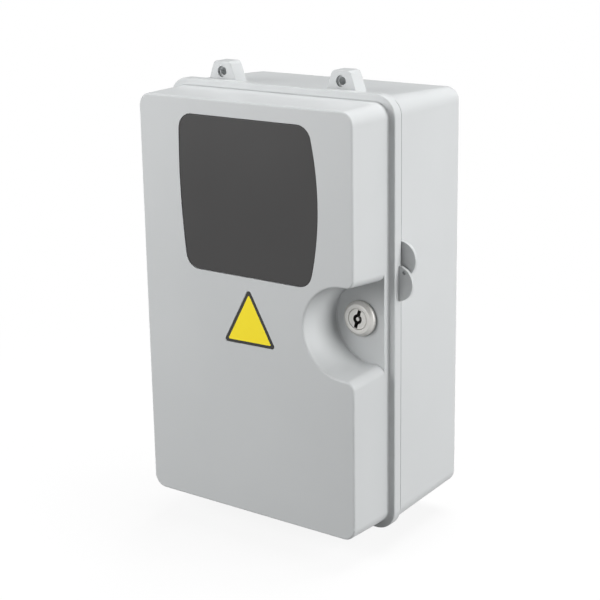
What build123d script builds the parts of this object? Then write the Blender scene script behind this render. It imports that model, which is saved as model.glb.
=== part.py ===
from build123d import *
import os
from math import radians, tan

os.makedirs("parts", exist_ok=True)

# Frame: X to the right, +Y into the wall, Z up, origin at the middle of the back face.
# A sketch on Plane.XZ.offset(d) lies d in front of the wall and is drawn in X and Z.

# Enclosure, outside
height = 300.0
width = 188.6
corner_radius = 15.0
wall = 3.0
parting_gap = 0.3
clearance = 0.3

# Rear box
base_depth = 82.4
base_inset = 2.0
base_draft = 2.44
rear_edge_chamfer = 2.0
base_inner_corner = 6.0

# Door
flange_thickness = 7.4
flange_overhang = 5.0
flange_edge_chamfer = 1.1
bulge_depth = 39.6
bulge_draft = 1.1
front_edge_chamfer = 1.5
door_inner_corner = 4.5

# Seal channel in the flange and tongue on the rim
skirt_wall = 2.0
channel_width = 4.6
channel_ceiling = 2.0
gasket_thickness = 2.0
gasket_width = 4.2
tongue_width = 1.8

# Finger scoop in the door
scoop_radius = 31.3
scoop_inset = 14.6
scoop_z = -0.8
scoop_draft = 4.0
scoop_floor_rise = 4.75
scoop_mouth_radius = 6.0
scoop_floor_chamfer = 2.2

# Window, with the margins of its bowed sides at the top, the middle and the bottom
window_top_margin = 16.9
window_over_scoop = 27.0
window_left_margins = (41.4, 40.6, 45.1)
window_right_margins = (40.3, 33.1, 40.7)
window_corner_radius = 11.0
pane_overlap = 3.5
pane_corner_cut = 6.0
pane_thickness = 3.0
pane_sink = 0.3
pane_gap = 0.25
window_seal_thickness = 1.5
window_boss_radius = 2.6
window_screw_radius = 1.1
window_head_radius = 4.2
window_head_height = 1.6
window_screw_length = 5.0
window_screw_margin = 16.0

# Fixing lugs on the top and bottom of the rear box
lug_spacing = 100.4
lug_shift = -4.5
lug_setback = 2.0
lug_depth = 12.0
lug_height = 14.0
lug_root_width = 26.0
lug_top_width = 15.4
lug_top_radius = 3.5
lug_hole_height = 6.8
lug_hole_radius = 2.7
lug_counterbore_radius = 3.9
lug_counterbore_depth = 2.0

# Seal ears on the right
ear_radius = 12.2
ear_inset = 1.6
door_ear_z = 25.8
base_ear_z = 41.5
ear_thickness = 2.75
ear_setback = 0.9
seal_hole_reach = 4.1
seal_hole_z = 33.65
seal_hole_radius = 1.3

# Hinges on the left
hinge_reach = 6.5
hinge_end_distance = 55.0
knuckle_radius = 4.0
knuckle_length = 14.0
knuckle_gap = 0.3
pin_radius = 1.5
pin_fit = 0.03
pin_running_fit = 0.08

# Fixing holes in the back wall
wall_fixing_side_inset = 29.3
wall_fixing_end_inset = 17.0
wall_fixing_radius = 3.0

# Thinned cable knock-outs in the bottom wall
knockout_radius = 12.5
knockout_depth = 1.4
knockout_pitch = 48.0
knockout_count = 3

# Lock
lock_offset_x = 8.7
lock_offset_z = 1.9
lock_cap_radius = 12.2
lock_cap_height = 4.2
lock_body_radius = 8.9
lock_hole_fit = 0.15
lock_washer_thickness = 0.8
lock_washer_radius = 11.5
lock_nut_flats = 24.0
lock_nut_height = 5.0
driver_radius = 7.0
driver_running_fit = 0.08
driver_sink = 0.3
key_slot_length = 13.0
key_slot_width = 2.4
key_slot_depth = 5.0
key_slot_tilt = 15.0
cam_reach = 15.6
cam_tail = 8.0
cam_width = 14.0
cam_corner_cut = 2.5
cam_thickness = 2.5
cam_square = 7.0
cam_square_fit = 0.05
cam_washer_radius = 6.0
cam_washer_thickness = 1.0
cam_screw_radius = 1.9
cam_screw_length = 12.0
cam_screw_head_radius = 3.8
cam_screw_head_height = 2.6

# Keeper on the right wall, just inside the rim
keeper_reach = 9.3
keeper_height = 22.0
keeper_thickness = 4.0

# Mounting plate
plate_side_gap = 19.3
plate_end_gap = 27.0
plate_thickness = 2.0
plate_corner_cut = 4.0
plate_boss_side_inset = 15.0
plate_boss_end_inset = 18.0
plate_boss_radius = 5.0
plate_boss_height = 10.0
plate_screw_length = 10.0

# Small screws and rings, drawn with a few flat sides
hexagon_sides = 6
fastener_sides = 8
ring_sides = 16
screw_radius = 1.9
screw_hole_fit = 0.1
screw_head_radius = 4.0
screw_head_height = 2.6

# Rail and its brackets
rail_end_gap = 5.0
rail_height = 35.0
rail_depth = 7.5
rail_channel = 27.0
rail_sheet = 1.0
rail_slot_length = 15.0
rail_slot_width = 6.2
rail_slot_corner_cut = 1.9
rail_slot_pitch = 25.0
rail_slot_count = 3
rail_screw_length = 8.0
bracket_inset = 20.0
bracket_height = 30.0
bracket_top_width = 18.0
bracket_foot = 11.0
bracket_sheet = 2.0
bracket_length = 20.0
bracket_screw_radius = 1.5
bracket_screw_length = 7.0
bracket_head_radius = 3.2
bracket_head_height = 2.0

# Terminal bar
bar_end_distance = 28.0
bar_length = 110.0
bar_width = 9.0
bar_thickness = 7.0
bar_foot_height = 16.0
bar_foot_length = 14.0
bar_foot_width = 13.0
bar_foot_inset = 9.0
terminal_count = 6
terminal_pitch = 12.0
terminal_screw_radius = 2.0
terminal_screw_stand = 2.2
terminal_screw_sink = 0.8
wire_hole_radius = 2.3
bar_screw_radius = 1.6
bar_screw_head_radius = 3.2
bar_screw_head_height = 2.0
bar_screw_tail = 3.0

# Derived levels, measured forward from the wall
keeper_back = base_depth - keeper_thickness
door_back = base_depth + parting_gap
flange_front = door_back + flange_thickness
door_front = flange_front + bulge_depth
scoop_floor = flange_front + scoop_floor_rise
channel_top = flange_front - channel_ceiling
gasket_face = channel_top - gasket_thickness
tongue_height = gasket_face - clearance - base_depth
plate_back = wall + plate_boss_height
plate_front = plate_back + plate_thickness

# Derived outlines
rim_width = width - 2 * base_inset
rim_height = height - 2 * base_inset
rim_radius = corner_radius - base_inset
bulge_width = width - 2 * flange_overhang
bulge_height = height - 2 * flange_overhang
bulge_radius = corner_radius - flange_overhang
channel_middle = skirt_wall + channel_width / 2
tongue_middle = base_inset + wall / 2
hinge_x = -(rim_width / 2 + hinge_reach)
hinge_y = -(base_depth + parting_gap / 2)
hinge_height = height / 2 - hinge_end_distance
scoop_x = width / 2 - scoop_inset
lock_x = scoop_x - lock_offset_x
lock_z = scoop_z + lock_offset_z
ear_centre_x = width / 2 - ear_inset
seal_hole_x = width / 2 + seal_hole_reach
lug_hole_z = rim_height / 2 + lug_hole_height
wall_fixing_x = width / 2 - wall_fixing_side_inset
wall_fixing_z = height / 2 - wall_fixing_end_inset
window_top = height / 2 - window_top_margin
window_bottom = scoop_z + window_over_scoop
window_middle = (window_top + window_bottom) / 2
window_left = [margin - width / 2 for margin in window_left_margins]
window_right = [width / 2 - margin for margin in window_right_margins]
pane_back = door_front - wall - window_seal_thickness - pane_thickness
window_screw_offset = pane_overlap + clearance + window_boss_radius
lock_body_end = door_back + clearance
cam_front = keeper_back - clearance
cam_back = cam_front - cam_thickness
lock_cap_back = scoop_floor + lock_washer_thickness
lock_cap_front = lock_cap_back + lock_cap_height
driver_front = lock_cap_front - driver_sink
bracket_front = plate_front + bracket_height
bar_back = plate_front + bar_foot_height
bar_front = bar_back + bar_thickness
plate_width = width - 2 * plate_side_gap
plate_height = height - 2 * plate_end_gap
plate_boss_x = plate_width / 2 - plate_boss_side_inset
plate_boss_z = plate_height / 2 - plate_boss_end_inset
rail_z = window_middle
rail_length = plate_width - 2 * rail_end_gap
bracket_x = rail_length / 2 - bracket_inset
bar_z = bar_end_distance - plate_height / 2
bar_foot_x = bar_length / 2 - bar_foot_inset


def ring_sketch(outer_inset, inner_inset):
    """Band between two insets of the flange outline, drawn on the current sketch."""
    RectangleRounded(width - 2 * outer_inset, height - 2 * outer_inset, corner_radius - outer_inset)
    RectangleRounded(
        width - 2 * inner_inset,
        height - 2 * inner_inset,
        corner_radius - inner_inset,
        mode=Mode.SUBTRACT,
    )


def finish(part, name):
    """Name a finished piece and write it."""
    part.label = name
    export_step(part, f"parts/{name}.step")


def window_chord_x(z, side):
    """Where the straight line beside a bowed side of the window lies at height z."""
    top, middle, bottom = side
    end = top if z > window_middle else bottom
    return middle + (end - middle) * abs(z - window_middle) / (window_top - window_middle)


def screw_hole(radius):
    """Hole of a small screw on the current sketch, round which its shank turns freely."""
    RegularPolygon(radius, fastener_sides, major_radius=False, mode=Mode.SUBTRACT)


# Rear box
with BuildPart() as rear_box:
    with BuildSketch(Plane.XZ.offset(base_depth)):
        RectangleRounded(rim_width, rim_height, rim_radius)
    extrude(amount=-base_depth, taper=base_draft)
    chamfer(rear_box.faces().sort_by(Axis.Y)[-1].edges(), rear_edge_chamfer)
    with BuildSketch(Plane.XZ.offset(base_depth)) as base_inside:
        Rectangle(rim_width - 2 * wall, rim_height - 2 * wall)
        chamfer(base_inside.vertices(), base_inner_corner)
    extrude(amount=-(base_depth - wall), taper=base_draft, mode=Mode.SUBTRACT)
    # Tongue that stands in the seal channel of the door
    with BuildSketch(Plane.XZ.offset(base_depth)):
        ring_sketch(tongue_middle - tongue_width / 2, tongue_middle + tongue_width / 2)
    extrude(amount=tongue_height)
    # Keeper that the lock cam goes behind
    with BuildSketch(Plane.XZ.offset(keeper_back)):
        with Locations((rim_width / 2 - wall - keeper_reach, lock_z)):
            Rectangle(keeper_reach + wall / 2, keeper_height, align=(Align.MIN, Align.CENTER))
    extrude(amount=keeper_thickness)
    # Four fixing lugs, two on top and two below
    for side in (1, -1):
        for lug_x in (lug_shift - lug_spacing / 2, lug_shift + lug_spacing / 2):
            with BuildSketch(Plane.XZ.offset(base_depth - lug_setback)) as lug:
                with BuildLine():
                    root_z = side * (rim_height / 2 - wall / 2)
                    top_z = side * (rim_height / 2 + lug_height)
                    Polyline(
                        (lug_x - lug_root_width / 2, root_z),
                        (lug_x - lug_top_width / 2, top_z),
                        (lug_x + lug_top_width / 2, top_z),
                        (lug_x + lug_root_width / 2, root_z),
                        close=True,
                    )
                make_face()
                top_corners = lug.vertices().group_by(Axis.Y)[-1 if side > 0 else 0]
                fillet(top_corners, lug_top_radius)
            extrude(amount=-lug_depth)
    # Seal ear
    with BuildSketch(Plane.XZ.offset(base_depth - ear_setback)):
        with Locations((ear_centre_x, base_ear_z)):
            Circle(ear_radius)
        with Locations((rim_width / 2 - wall / 2, base_ear_z)):
            Rectangle(2 * ear_radius, 3 * ear_radius, align=(Align.MAX, Align.CENTER), mode=Mode.SUBTRACT)
    extrude(amount=-ear_thickness)
    # Hinge knuckles, each below one of the door
    for middle in (hinge_height, -hinge_height):
        with BuildSketch(Plane.XY.offset(middle - knuckle_gap / 2)):
            with Locations((hinge_x, hinge_y)):
                Circle(knuckle_radius)
            with Locations((hinge_x, -base_depth)):
                Rectangle(
                    hinge_reach + wall / 2,
                    knuckle_radius - parting_gap / 2,
                    align=(Align.MIN, Align.MIN),
                )
            with Locations((hinge_x, hinge_y)):
                Circle(pin_radius + pin_fit, mode=Mode.SUBTRACT)
        extrude(amount=-knuckle_length)
    # Bosses for the mounting plate
    with BuildSketch(Plane.XZ.offset(wall / 2)):
        with GridLocations(2 * plate_boss_x, 2 * plate_boss_z, 2, 2):
            RegularPolygon(plate_boss_radius, fastener_sides)
    extrude(amount=plate_boss_height + wall / 2)
    with BuildSketch(Plane.XZ.offset(plate_back)):
        with GridLocations(2 * plate_boss_x, 2 * plate_boss_z, 2, 2):
            RegularPolygon(screw_radius + screw_hole_fit, fastener_sides, major_radius=False)
    extrude(amount=-plate_screw_length, mode=Mode.SUBTRACT)
    # Holes
    with Locations(Plane.XZ.offset(wall)):
        with GridLocations(2 * wall_fixing_x, 2 * wall_fixing_z, 2, 2):
            Hole(wall_fixing_radius, depth=wall)
    with Locations(Plane.XZ.offset(base_depth - lug_setback)):
        with Locations((lug_shift, 0)):
            with GridLocations(lug_spacing, 2 * lug_hole_z, 2, 2):
                CounterBoreHole(
                    lug_hole_radius, lug_counterbore_radius, lug_counterbore_depth, depth=lug_depth
                )
    with Locations(Plane.XZ.offset(base_depth - ear_setback)):
        with Locations((seal_hole_x, seal_hole_z)):
            Hole(seal_hole_radius, depth=ear_thickness)
    # Knock-outs, cut from outside into the sloping bottom wall
    bottom_at_knockout = rim_height / 2 - base_depth / 2 * tan(radians(base_draft))
    with BuildSketch(Plane.XY.offset(-bottom_at_knockout + knockout_depth)):
        with Locations((0, -base_depth / 2)):
            with GridLocations(knockout_pitch, 1, knockout_count, 1):
                RegularPolygon(knockout_radius, ring_sides)
    extrude(amount=-2 * knockout_depth, mode=Mode.SUBTRACT)
finish(rear_box.part, "rear_box")

# Outline of the viewing window
with BuildSketch(Plane.XZ.offset(door_front)) as window_outline:
    with BuildLine():
        levels = (window_top, window_middle, window_bottom)
        left_side = ThreePointArc(*zip(window_left, levels))
        right_side = ThreePointArc(*zip(window_right, levels))
        Line(left_side @ 0, right_side @ 0)
        Line(left_side @ 1, right_side @ 1)
    make_face()
    fillet(window_outline.vertices(), window_corner_radius)

# Plainer outline of the hidden pane flange and of its foam frame
with BuildSketch(Plane.XZ.offset(door_front)) as pane_flange_outline:
    with BuildLine():
        Polyline(*zip(window_left, levels), *reversed(list(zip(window_right, levels))), close=True)
    make_face()
    offset(amount=pane_overlap, kind=Kind.INTERSECTION, mode=Mode.REPLACE)
    end_corners = (
        pane_flange_outline.vertices().group_by(Axis.Y)[0]
        + pane_flange_outline.vertices().group_by(Axis.Y)[-1]
    )
    chamfer(end_corners, pane_corner_cut)

# Places of the screws round the pane
window_screw_places = []
for screw_z in (window_bottom + window_screw_margin, window_top - window_screw_margin):
    window_screw_places.append((window_chord_x(screw_z, window_left) - window_screw_offset, screw_z))
    window_screw_places.append((window_chord_x(screw_z, window_right) + window_screw_offset, screw_z))

# Space inside the door, less the walls of the scoop
with BuildPart() as door_core:
    with BuildSketch(Plane.XZ.offset(flange_front)) as core_outline:
        Rectangle(bulge_width - 2 * wall, bulge_height - 2 * wall)
        chamfer(core_outline.vertices(), door_inner_corner)
    extrude(amount=-flange_thickness)
    extrude(core_outline.sketch, amount=bulge_depth - wall, taper=bulge_draft)
    with BuildSketch(Plane.XZ.offset(door_front)):
        with Locations((scoop_x, scoop_z)):
            Circle(scoop_radius + wall)
            Rectangle(2 * scoop_radius, 2 * (scoop_radius + wall), align=(Align.MIN, Align.CENTER))
    extrude(amount=-(door_front - scoop_floor + wall), mode=Mode.SUBTRACT)

# Door
with BuildPart() as door_shell:
    with BuildSketch(Plane.XZ.offset(door_back)):
        RectangleRounded(width, height, corner_radius)
    extrude(amount=flange_thickness)
    chamfer(door_shell.faces().sort_by(Axis.Y)[0].edges(), flange_edge_chamfer)
    with BuildSketch(Plane.XZ.offset(flange_front)):
        RectangleRounded(bulge_width, bulge_height, bulge_radius)
    extrude(amount=bulge_depth, taper=bulge_draft)
    # Scoop, open to the right
    with BuildSketch(Plane.XZ.offset(door_front)):
        with Locations((scoop_x, scoop_z)):
            Circle(scoop_radius)
            Rectangle(2 * scoop_radius, 2 * scoop_radius, align=(Align.MIN, Align.CENTER))
    extrude(amount=-(door_front - scoop_floor), taper=scoop_draft, mode=Mode.SUBTRACT)
    mouth_edges = (
        door_shell.edges()
        .filter_by(lambda edge: abs(edge.tangent_at(0.5).Y) > 0.95)
        .filter_by(lambda edge: edge.center().X > bulge_width / 2 - wall)
        .filter_by(lambda edge: abs(edge.center().Z - scoop_z) < scoop_radius + wall)
    )
    fillet(mouth_edges, scoop_mouth_radius)
    floor_edges = (
        door_shell.edges()
        .filter_by(lambda edge: abs(edge.center().Y + scoop_floor) < 0.01)
        .filter_by(lambda edge: edge.center().X < bulge_width / 2 - 0.5)
    )
    chamfer(floor_edges, scoop_floor_chamfer)
    chamfer(door_shell.faces().sort_by(Axis.Y)[0].edges(), front_edge_chamfer)
    add(door_core.part, mode=Mode.SUBTRACT)
    # Seal channel in the back of the flange
    with BuildSketch(Plane.XZ.offset(door_back)):
        ring_sketch(skirt_wall, skirt_wall + channel_width)
    extrude(amount=channel_top - door_back, mode=Mode.SUBTRACT)
    # Window opening
    extrude(window_outline.sketch, amount=-2 * wall, mode=Mode.SUBTRACT)
    # Bosses and pilot holes for the screws that clamp the pane
    with BuildSketch(Plane.XZ.offset(pane_back + clearance)):
        with Locations(*window_screw_places):
            RegularPolygon(window_boss_radius, fastener_sides)
    extrude(amount=door_front - wall / 2 - pane_back - clearance)
    with BuildSketch(Plane.XZ.offset(pane_back)):
        with Locations(*window_screw_places):
            RegularPolygon(window_screw_radius + screw_hole_fit, fastener_sides, major_radius=False)
    extrude(amount=window_screw_length + clearance, mode=Mode.SUBTRACT)
    # Hole for the lock in the floor of the scoop
    with Locations(Plane.XZ.offset(scoop_floor)):
        with Locations((lock_x, lock_z)):
            Hole(lock_body_radius + lock_hole_fit, depth=2 * wall)
    # Seal ear
    with BuildSketch(Plane.XZ.offset(door_back)):
        with Locations((ear_centre_x, door_ear_z)):
            Circle(ear_radius)
        with Locations((width / 2 - skirt_wall / 2, door_ear_z)):
            Rectangle(2 * ear_radius, 3 * ear_radius, align=(Align.MAX, Align.CENTER), mode=Mode.SUBTRACT)
    extrude(amount=ear_thickness)
    with Locations(Plane.XZ.offset(door_back + ear_thickness)):
        with Locations((seal_hole_x, seal_hole_z)):
            Hole(seal_hole_radius, depth=ear_thickness)
    # Hinge knuckles
    for middle in (hinge_height, -hinge_height):
        with BuildSketch(Plane.XY.offset(middle + knuckle_gap / 2)):
            with Locations((hinge_x, hinge_y)):
                Circle(knuckle_radius)
            with Locations((hinge_x, -door_back)):
                Rectangle(
                    -hinge_x - width / 2 + skirt_wall / 2,
                    knuckle_radius - parting_gap / 2,
                    align=(Align.MIN, Align.MAX),
                )
            with Locations((hinge_x, hinge_y)):
                Circle(pin_radius + pin_running_fit, mode=Mode.SUBTRACT)
        extrude(amount=knuckle_length)
finish(door_shell.part, "door_shell")

# Foam gasket in the seal channel
with BuildPart() as door_gasket:
    with BuildSketch(Plane.XZ.offset(gasket_face)):
        ring_sketch(channel_middle - gasket_width / 2, channel_middle + gasket_width / 2)
    extrude(amount=gasket_thickness)
finish(door_gasket.part, "door_gasket")

# Tinted pane, dished so that its middle fills the opening
with BuildPart() as window_pane:
    with BuildSketch(Plane.XZ.offset(pane_back)):
        add(pane_flange_outline.sketch_local)
    extrude(amount=pane_thickness)
    with BuildSketch(Plane.XZ.offset(pane_back)):
        add(window_outline.sketch_local)
        offset(amount=-pane_gap, mode=Mode.REPLACE)
    extrude(amount=door_front - pane_sink - pane_back)
    with BuildSketch(Plane.XZ.offset(pane_back)):
        add(window_outline.sketch_local)
        offset(amount=-(pane_gap + pane_thickness), mode=Mode.REPLACE)
    extrude(amount=door_front - pane_sink - pane_thickness - pane_back, mode=Mode.SUBTRACT)
finish(window_pane.part, "window_pane")

# Foam frame between the pane and the door
with BuildPart() as window_seal:
    with BuildSketch(Plane.XZ.offset(pane_back + pane_thickness)):
        add(pane_flange_outline.sketch_local)
        with BuildSketch(mode=Mode.SUBTRACT):
            add(window_outline.sketch_local)
            offset(amount=clearance, mode=Mode.REPLACE)
    extrude(amount=window_seal_thickness)
finish(window_seal.part, "window_seal")

# Screws that clamp the pane, heads to the inside
with BuildPart() as window_screws:
    with BuildSketch(Plane.XZ.offset(pane_back)):
        with Locations(*window_screw_places):
            RegularPolygon(window_head_radius, hexagon_sides)
    extrude(amount=-window_head_height)
    with BuildSketch(Plane.XZ.offset(pane_back)):
        with Locations(*window_screw_places):
            RegularPolygon(window_screw_radius, fastener_sides)
    extrude(amount=window_screw_length)
finish(window_screws.part, "window_screws")

# Hinge pins
for name, middle in (("hinge_pin_top", hinge_height), ("hinge_pin_bottom", -hinge_height)):
    pin_length = 2 * knuckle_length + knuckle_gap
    with BuildPart() as hinge_pin:
        with BuildSketch(Plane.XY.offset(middle - pin_length / 2)):
            with Locations((hinge_x, hinge_y)):
                Circle(pin_radius)
        extrude(amount=pin_length)
    finish(hinge_pin.part, name)

# Lock housing, a cap in front of the scoop floor and a body through it
with BuildPart() as lock_housing:
    with BuildSketch(Plane.XZ.offset(lock_body_end)):
        with Locations((lock_x, lock_z)):
            Circle(lock_body_radius)
    extrude(amount=lock_cap_back - lock_body_end)
    with BuildSketch(Plane.XZ.offset(lock_cap_back)):
        with Locations((lock_x, lock_z)):
            Circle(lock_cap_radius)
    extrude(amount=lock_cap_height)
    with Locations(Plane.XZ.offset(lock_cap_front)):
        with Locations((lock_x, lock_z)):
            Hole(driver_radius + driver_running_fit, depth=lock_cap_front - lock_body_end)
finish(lock_housing.part, "lock_housing")

# Rubber washer under the cap
with BuildPart() as lock_seal_washer:
    with BuildSketch(Plane.XZ.offset(scoop_floor)):
        with Locations((lock_x, lock_z)):
            RegularPolygon(lock_washer_radius, ring_sides)
            RegularPolygon(
                lock_body_radius + lock_hole_fit, ring_sides, major_radius=False, mode=Mode.SUBTRACT
            )
    extrude(amount=lock_washer_thickness)
finish(lock_seal_washer.part, "lock_seal_washer")

# Hexagon nut behind the scoop floor, flats towards the side wall
with BuildPart() as lock_nut:
    with BuildSketch(Plane.XZ.offset(scoop_floor - wall)):
        with Locations((lock_x, lock_z)):
            RegularPolygon(lock_nut_flats / 2, hexagon_sides, major_radius=False, rotation=30)
            RegularPolygon(
                lock_body_radius + screw_hole_fit, ring_sides, major_radius=False, mode=Mode.SUBTRACT
            )
    extrude(amount=-lock_nut_height)
finish(lock_nut.part, "lock_nut")

# Turning barrel with the key slot and a square for the cam
with BuildPart() as lock_driver:
    with BuildSketch(Plane.XZ.offset(cam_front)):
        with Locations((lock_x, lock_z)):
            Circle(driver_radius)
    extrude(amount=driver_front - cam_front)
    with BuildSketch(Plane.XZ.offset(cam_front)):
        with Locations((lock_x, lock_z)):
            Rectangle(cam_square, cam_square)
    extrude(amount=-(cam_thickness - cam_square_fit))
    with BuildSketch(Plane.XZ.offset(driver_front)):
        with Locations(Location((lock_x, lock_z), -key_slot_tilt)):
            Rectangle(key_slot_width, key_slot_length)
    extrude(amount=-key_slot_depth, mode=Mode.SUBTRACT)
    with BuildSketch(Plane.XZ.offset(cam_back)):
        with Locations((lock_x, lock_z)):
            RegularPolygon(cam_screw_radius + screw_hole_fit, fastener_sides, major_radius=False)
    extrude(amount=cam_screw_length, mode=Mode.SUBTRACT)
finish(lock_driver.part, "lock_driver")

# Cam, pointing up when the door is free to open
with BuildPart() as lock_cam:
    with BuildSketch(Plane.XZ.offset(cam_front)) as cam_sketch:
        with Locations((lock_x, lock_z + (cam_reach - cam_tail) / 2)):
            Rectangle(cam_width, cam_reach + cam_tail)
        chamfer(cam_sketch.vertices(), cam_corner_cut)
        with Locations((lock_x, lock_z)):
            Rectangle(cam_square + 2 * cam_square_fit, cam_square + 2 * cam_square_fit, mode=Mode.SUBTRACT)
    extrude(amount=-cam_thickness)
finish(lock_cam.part, "lock_cam")

with BuildPart() as cam_washer:
    with BuildSketch(Plane.XZ.offset(cam_back)):
        with Locations((lock_x, lock_z)):
            RegularPolygon(cam_washer_radius, ring_sides)
            screw_hole(cam_screw_radius + screw_hole_fit)
    extrude(amount=-cam_washer_thickness)
finish(cam_washer.part, "cam_washer")

with BuildPart() as cam_screw:
    with BuildSketch(Plane.XZ.offset(cam_back - cam_washer_thickness)):
        with Locations((lock_x, lock_z)):
            RegularPolygon(cam_screw_head_radius, hexagon_sides)
    extrude(amount=-cam_screw_head_height)
    with BuildSketch(Plane.XZ.offset(cam_back - cam_washer_thickness)):
        with Locations((lock_x, lock_z)):
            RegularPolygon(cam_screw_radius, fastener_sides)
    extrude(amount=cam_screw_length)
finish(cam_screw.part, "cam_screw")

# Mounting plate on the bosses
bracket_screw_x = bracket_top_width / 2 + bracket_foot / 2
bracket_screw_places = [
    (side * bracket_x + foot * bracket_screw_x, rail_z) for side in (-1, 1) for foot in (-1, 1)
]
bar_screw_places = [(-bar_foot_x, bar_z), (bar_foot_x, bar_z)]
with BuildPart() as mounting_plate:
    with BuildSketch(Plane.XZ.offset(plate_back)) as plate_sketch:
        Rectangle(plate_width, plate_height)
        chamfer(plate_sketch.vertices(), plate_corner_cut)
        with GridLocations(2 * plate_boss_x, 2 * plate_boss_z, 2, 2):
            screw_hole(screw_radius + screw_hole_fit)
        with Locations(*bracket_screw_places):
            screw_hole(bracket_screw_radius + screw_hole_fit)
        with Locations(*bar_screw_places):
            screw_hole(bar_screw_radius + screw_hole_fit)
    extrude(amount=plate_thickness)
finish(mounting_plate.part, "mounting_plate")

with BuildPart() as plate_screws:
    with BuildSketch(Plane.XZ.offset(plate_front)):
        with GridLocations(2 * plate_boss_x, 2 * plate_boss_z, 2, 2):
            RegularPolygon(screw_head_radius, hexagon_sides)
    extrude(amount=screw_head_height)
    with BuildSketch(Plane.XZ.offset(plate_front)):
        with GridLocations(2 * plate_boss_x, 2 * plate_boss_z, 2, 2):
            RegularPolygon(screw_radius, fastener_sides)
    extrude(amount=-plate_screw_length)
finish(plate_screws.part, "plate_screws")

# Bent brackets that carry the rail
with BuildPart() as rail_brackets:
    for side in (-1, 1):
        with BuildSketch(Plane.XY.offset(rail_z - bracket_length / 2)):
            with BuildLine():
                foot_end = bracket_top_width / 2 + bracket_foot
                outer = bracket_top_width / 2
                inner = outer - bracket_sheet
                profile = [
                    (-foot_end, 0),
                    (-inner, 0),
                    (-inner, bracket_height - bracket_sheet),
                    (inner, bracket_height - bracket_sheet),
                    (inner, 0),
                    (foot_end, 0),
                    (foot_end, bracket_sheet),
                    (outer, bracket_sheet),
                    (outer, bracket_height),
                    (-outer, bracket_height),
                    (-outer, bracket_sheet),
                    (-foot_end, bracket_sheet),
                ]
                Polyline(*[(side * bracket_x + x, -plate_front - y) for x, y in profile], close=True)
            make_face()
        extrude(amount=bracket_length)
    with BuildSketch(Plane.XZ.offset(plate_front)):
        with Locations(*bracket_screw_places):
            RegularPolygon(bracket_screw_radius + screw_hole_fit, fastener_sides, major_radius=False)
    extrude(amount=bracket_sheet, mode=Mode.SUBTRACT)
    with BuildSketch(Plane.XZ.offset(bracket_front - bracket_sheet)):
        with Locations((-bracket_x, rail_z), (bracket_x, rail_z)):
            RegularPolygon(screw_radius + screw_hole_fit, fastener_sides, major_radius=False)
    extrude(amount=bracket_sheet, mode=Mode.SUBTRACT)
finish(rail_brackets.part, "rail_brackets")

with BuildPart() as bracket_screws:
    with BuildSketch(Plane.XZ.offset(plate_front + bracket_sheet)):
        with Locations(*bracket_screw_places):
            RegularPolygon(bracket_head_radius, hexagon_sides)
    extrude(amount=bracket_head_height)
    with BuildSketch(Plane.XZ.offset(plate_front + bracket_sheet)):
        with Locations(*bracket_screw_places):
            RegularPolygon(bracket_screw_radius, fastener_sides)
    extrude(amount=-bracket_screw_length)
finish(bracket_screws.part, "bracket_screws")

# Top-hat rail
with BuildPart() as din_rail:
    with BuildSketch(Plane.YZ.offset(-rail_length / 2)):
        with BuildLine():
            lip = rail_height / 2
            web = rail_channel / 2
            profile = [
                (rail_depth, -lip),
                (rail_depth, -web + rail_sheet),
                (rail_sheet, -web + rail_sheet),
                (rail_sheet, web - rail_sheet),
                (rail_depth, web - rail_sheet),
                (rail_depth, lip),
                (rail_depth - rail_sheet, lip),
                (rail_depth - rail_sheet, web),
                (0, web),
                (0, -web),
                (rail_depth - rail_sheet, -web),
                (rail_depth - rail_sheet, -lip),
            ]
            Polyline(*[(-bracket_front - y, rail_z + z) for y, z in profile], close=True)
        make_face()
    extrude(amount=rail_length)
    with BuildSketch(Plane.XZ.offset(bracket_front)) as rail_slots:
        with Locations((0, rail_z)):
            with GridLocations(rail_slot_pitch, 1, rail_slot_count, 1):
                Rectangle(rail_slot_length, rail_slot_width)
        chamfer(rail_slots.vertices(), rail_slot_corner_cut)
        with Locations((-bracket_x, rail_z), (bracket_x, rail_z)):
            RegularPolygon(screw_radius + screw_hole_fit, fastener_sides, major_radius=False)
    extrude(amount=rail_sheet, mode=Mode.SUBTRACT)
finish(din_rail.part, "din_rail")

with BuildPart() as rail_screws:
    with BuildSketch(Plane.XZ.offset(bracket_front + rail_sheet)):
        with Locations((-bracket_x, rail_z), (bracket_x, rail_z)):
            RegularPolygon(screw_head_radius, hexagon_sides)
    extrude(amount=screw_head_height)
    with BuildSketch(Plane.XZ.offset(bracket_front + rail_sheet)):
        with Locations((-bracket_x, rail_z), (bracket_x, rail_z)):
            RegularPolygon(screw_radius, fastener_sides)
    extrude(amount=-rail_screw_length)
finish(rail_screws.part, "rail_screws")

# Terminal bar on two insulating feet
with BuildPart() as bar_feet:
    with BuildSketch(Plane.XZ.offset(plate_front)):
        with Locations(*bar_screw_places):
            Rectangle(bar_foot_length, bar_foot_width)
            screw_hole(bar_screw_radius + screw_hole_fit)
    extrude(amount=bar_foot_height)
finish(bar_feet.part, "bar_feet")

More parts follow.
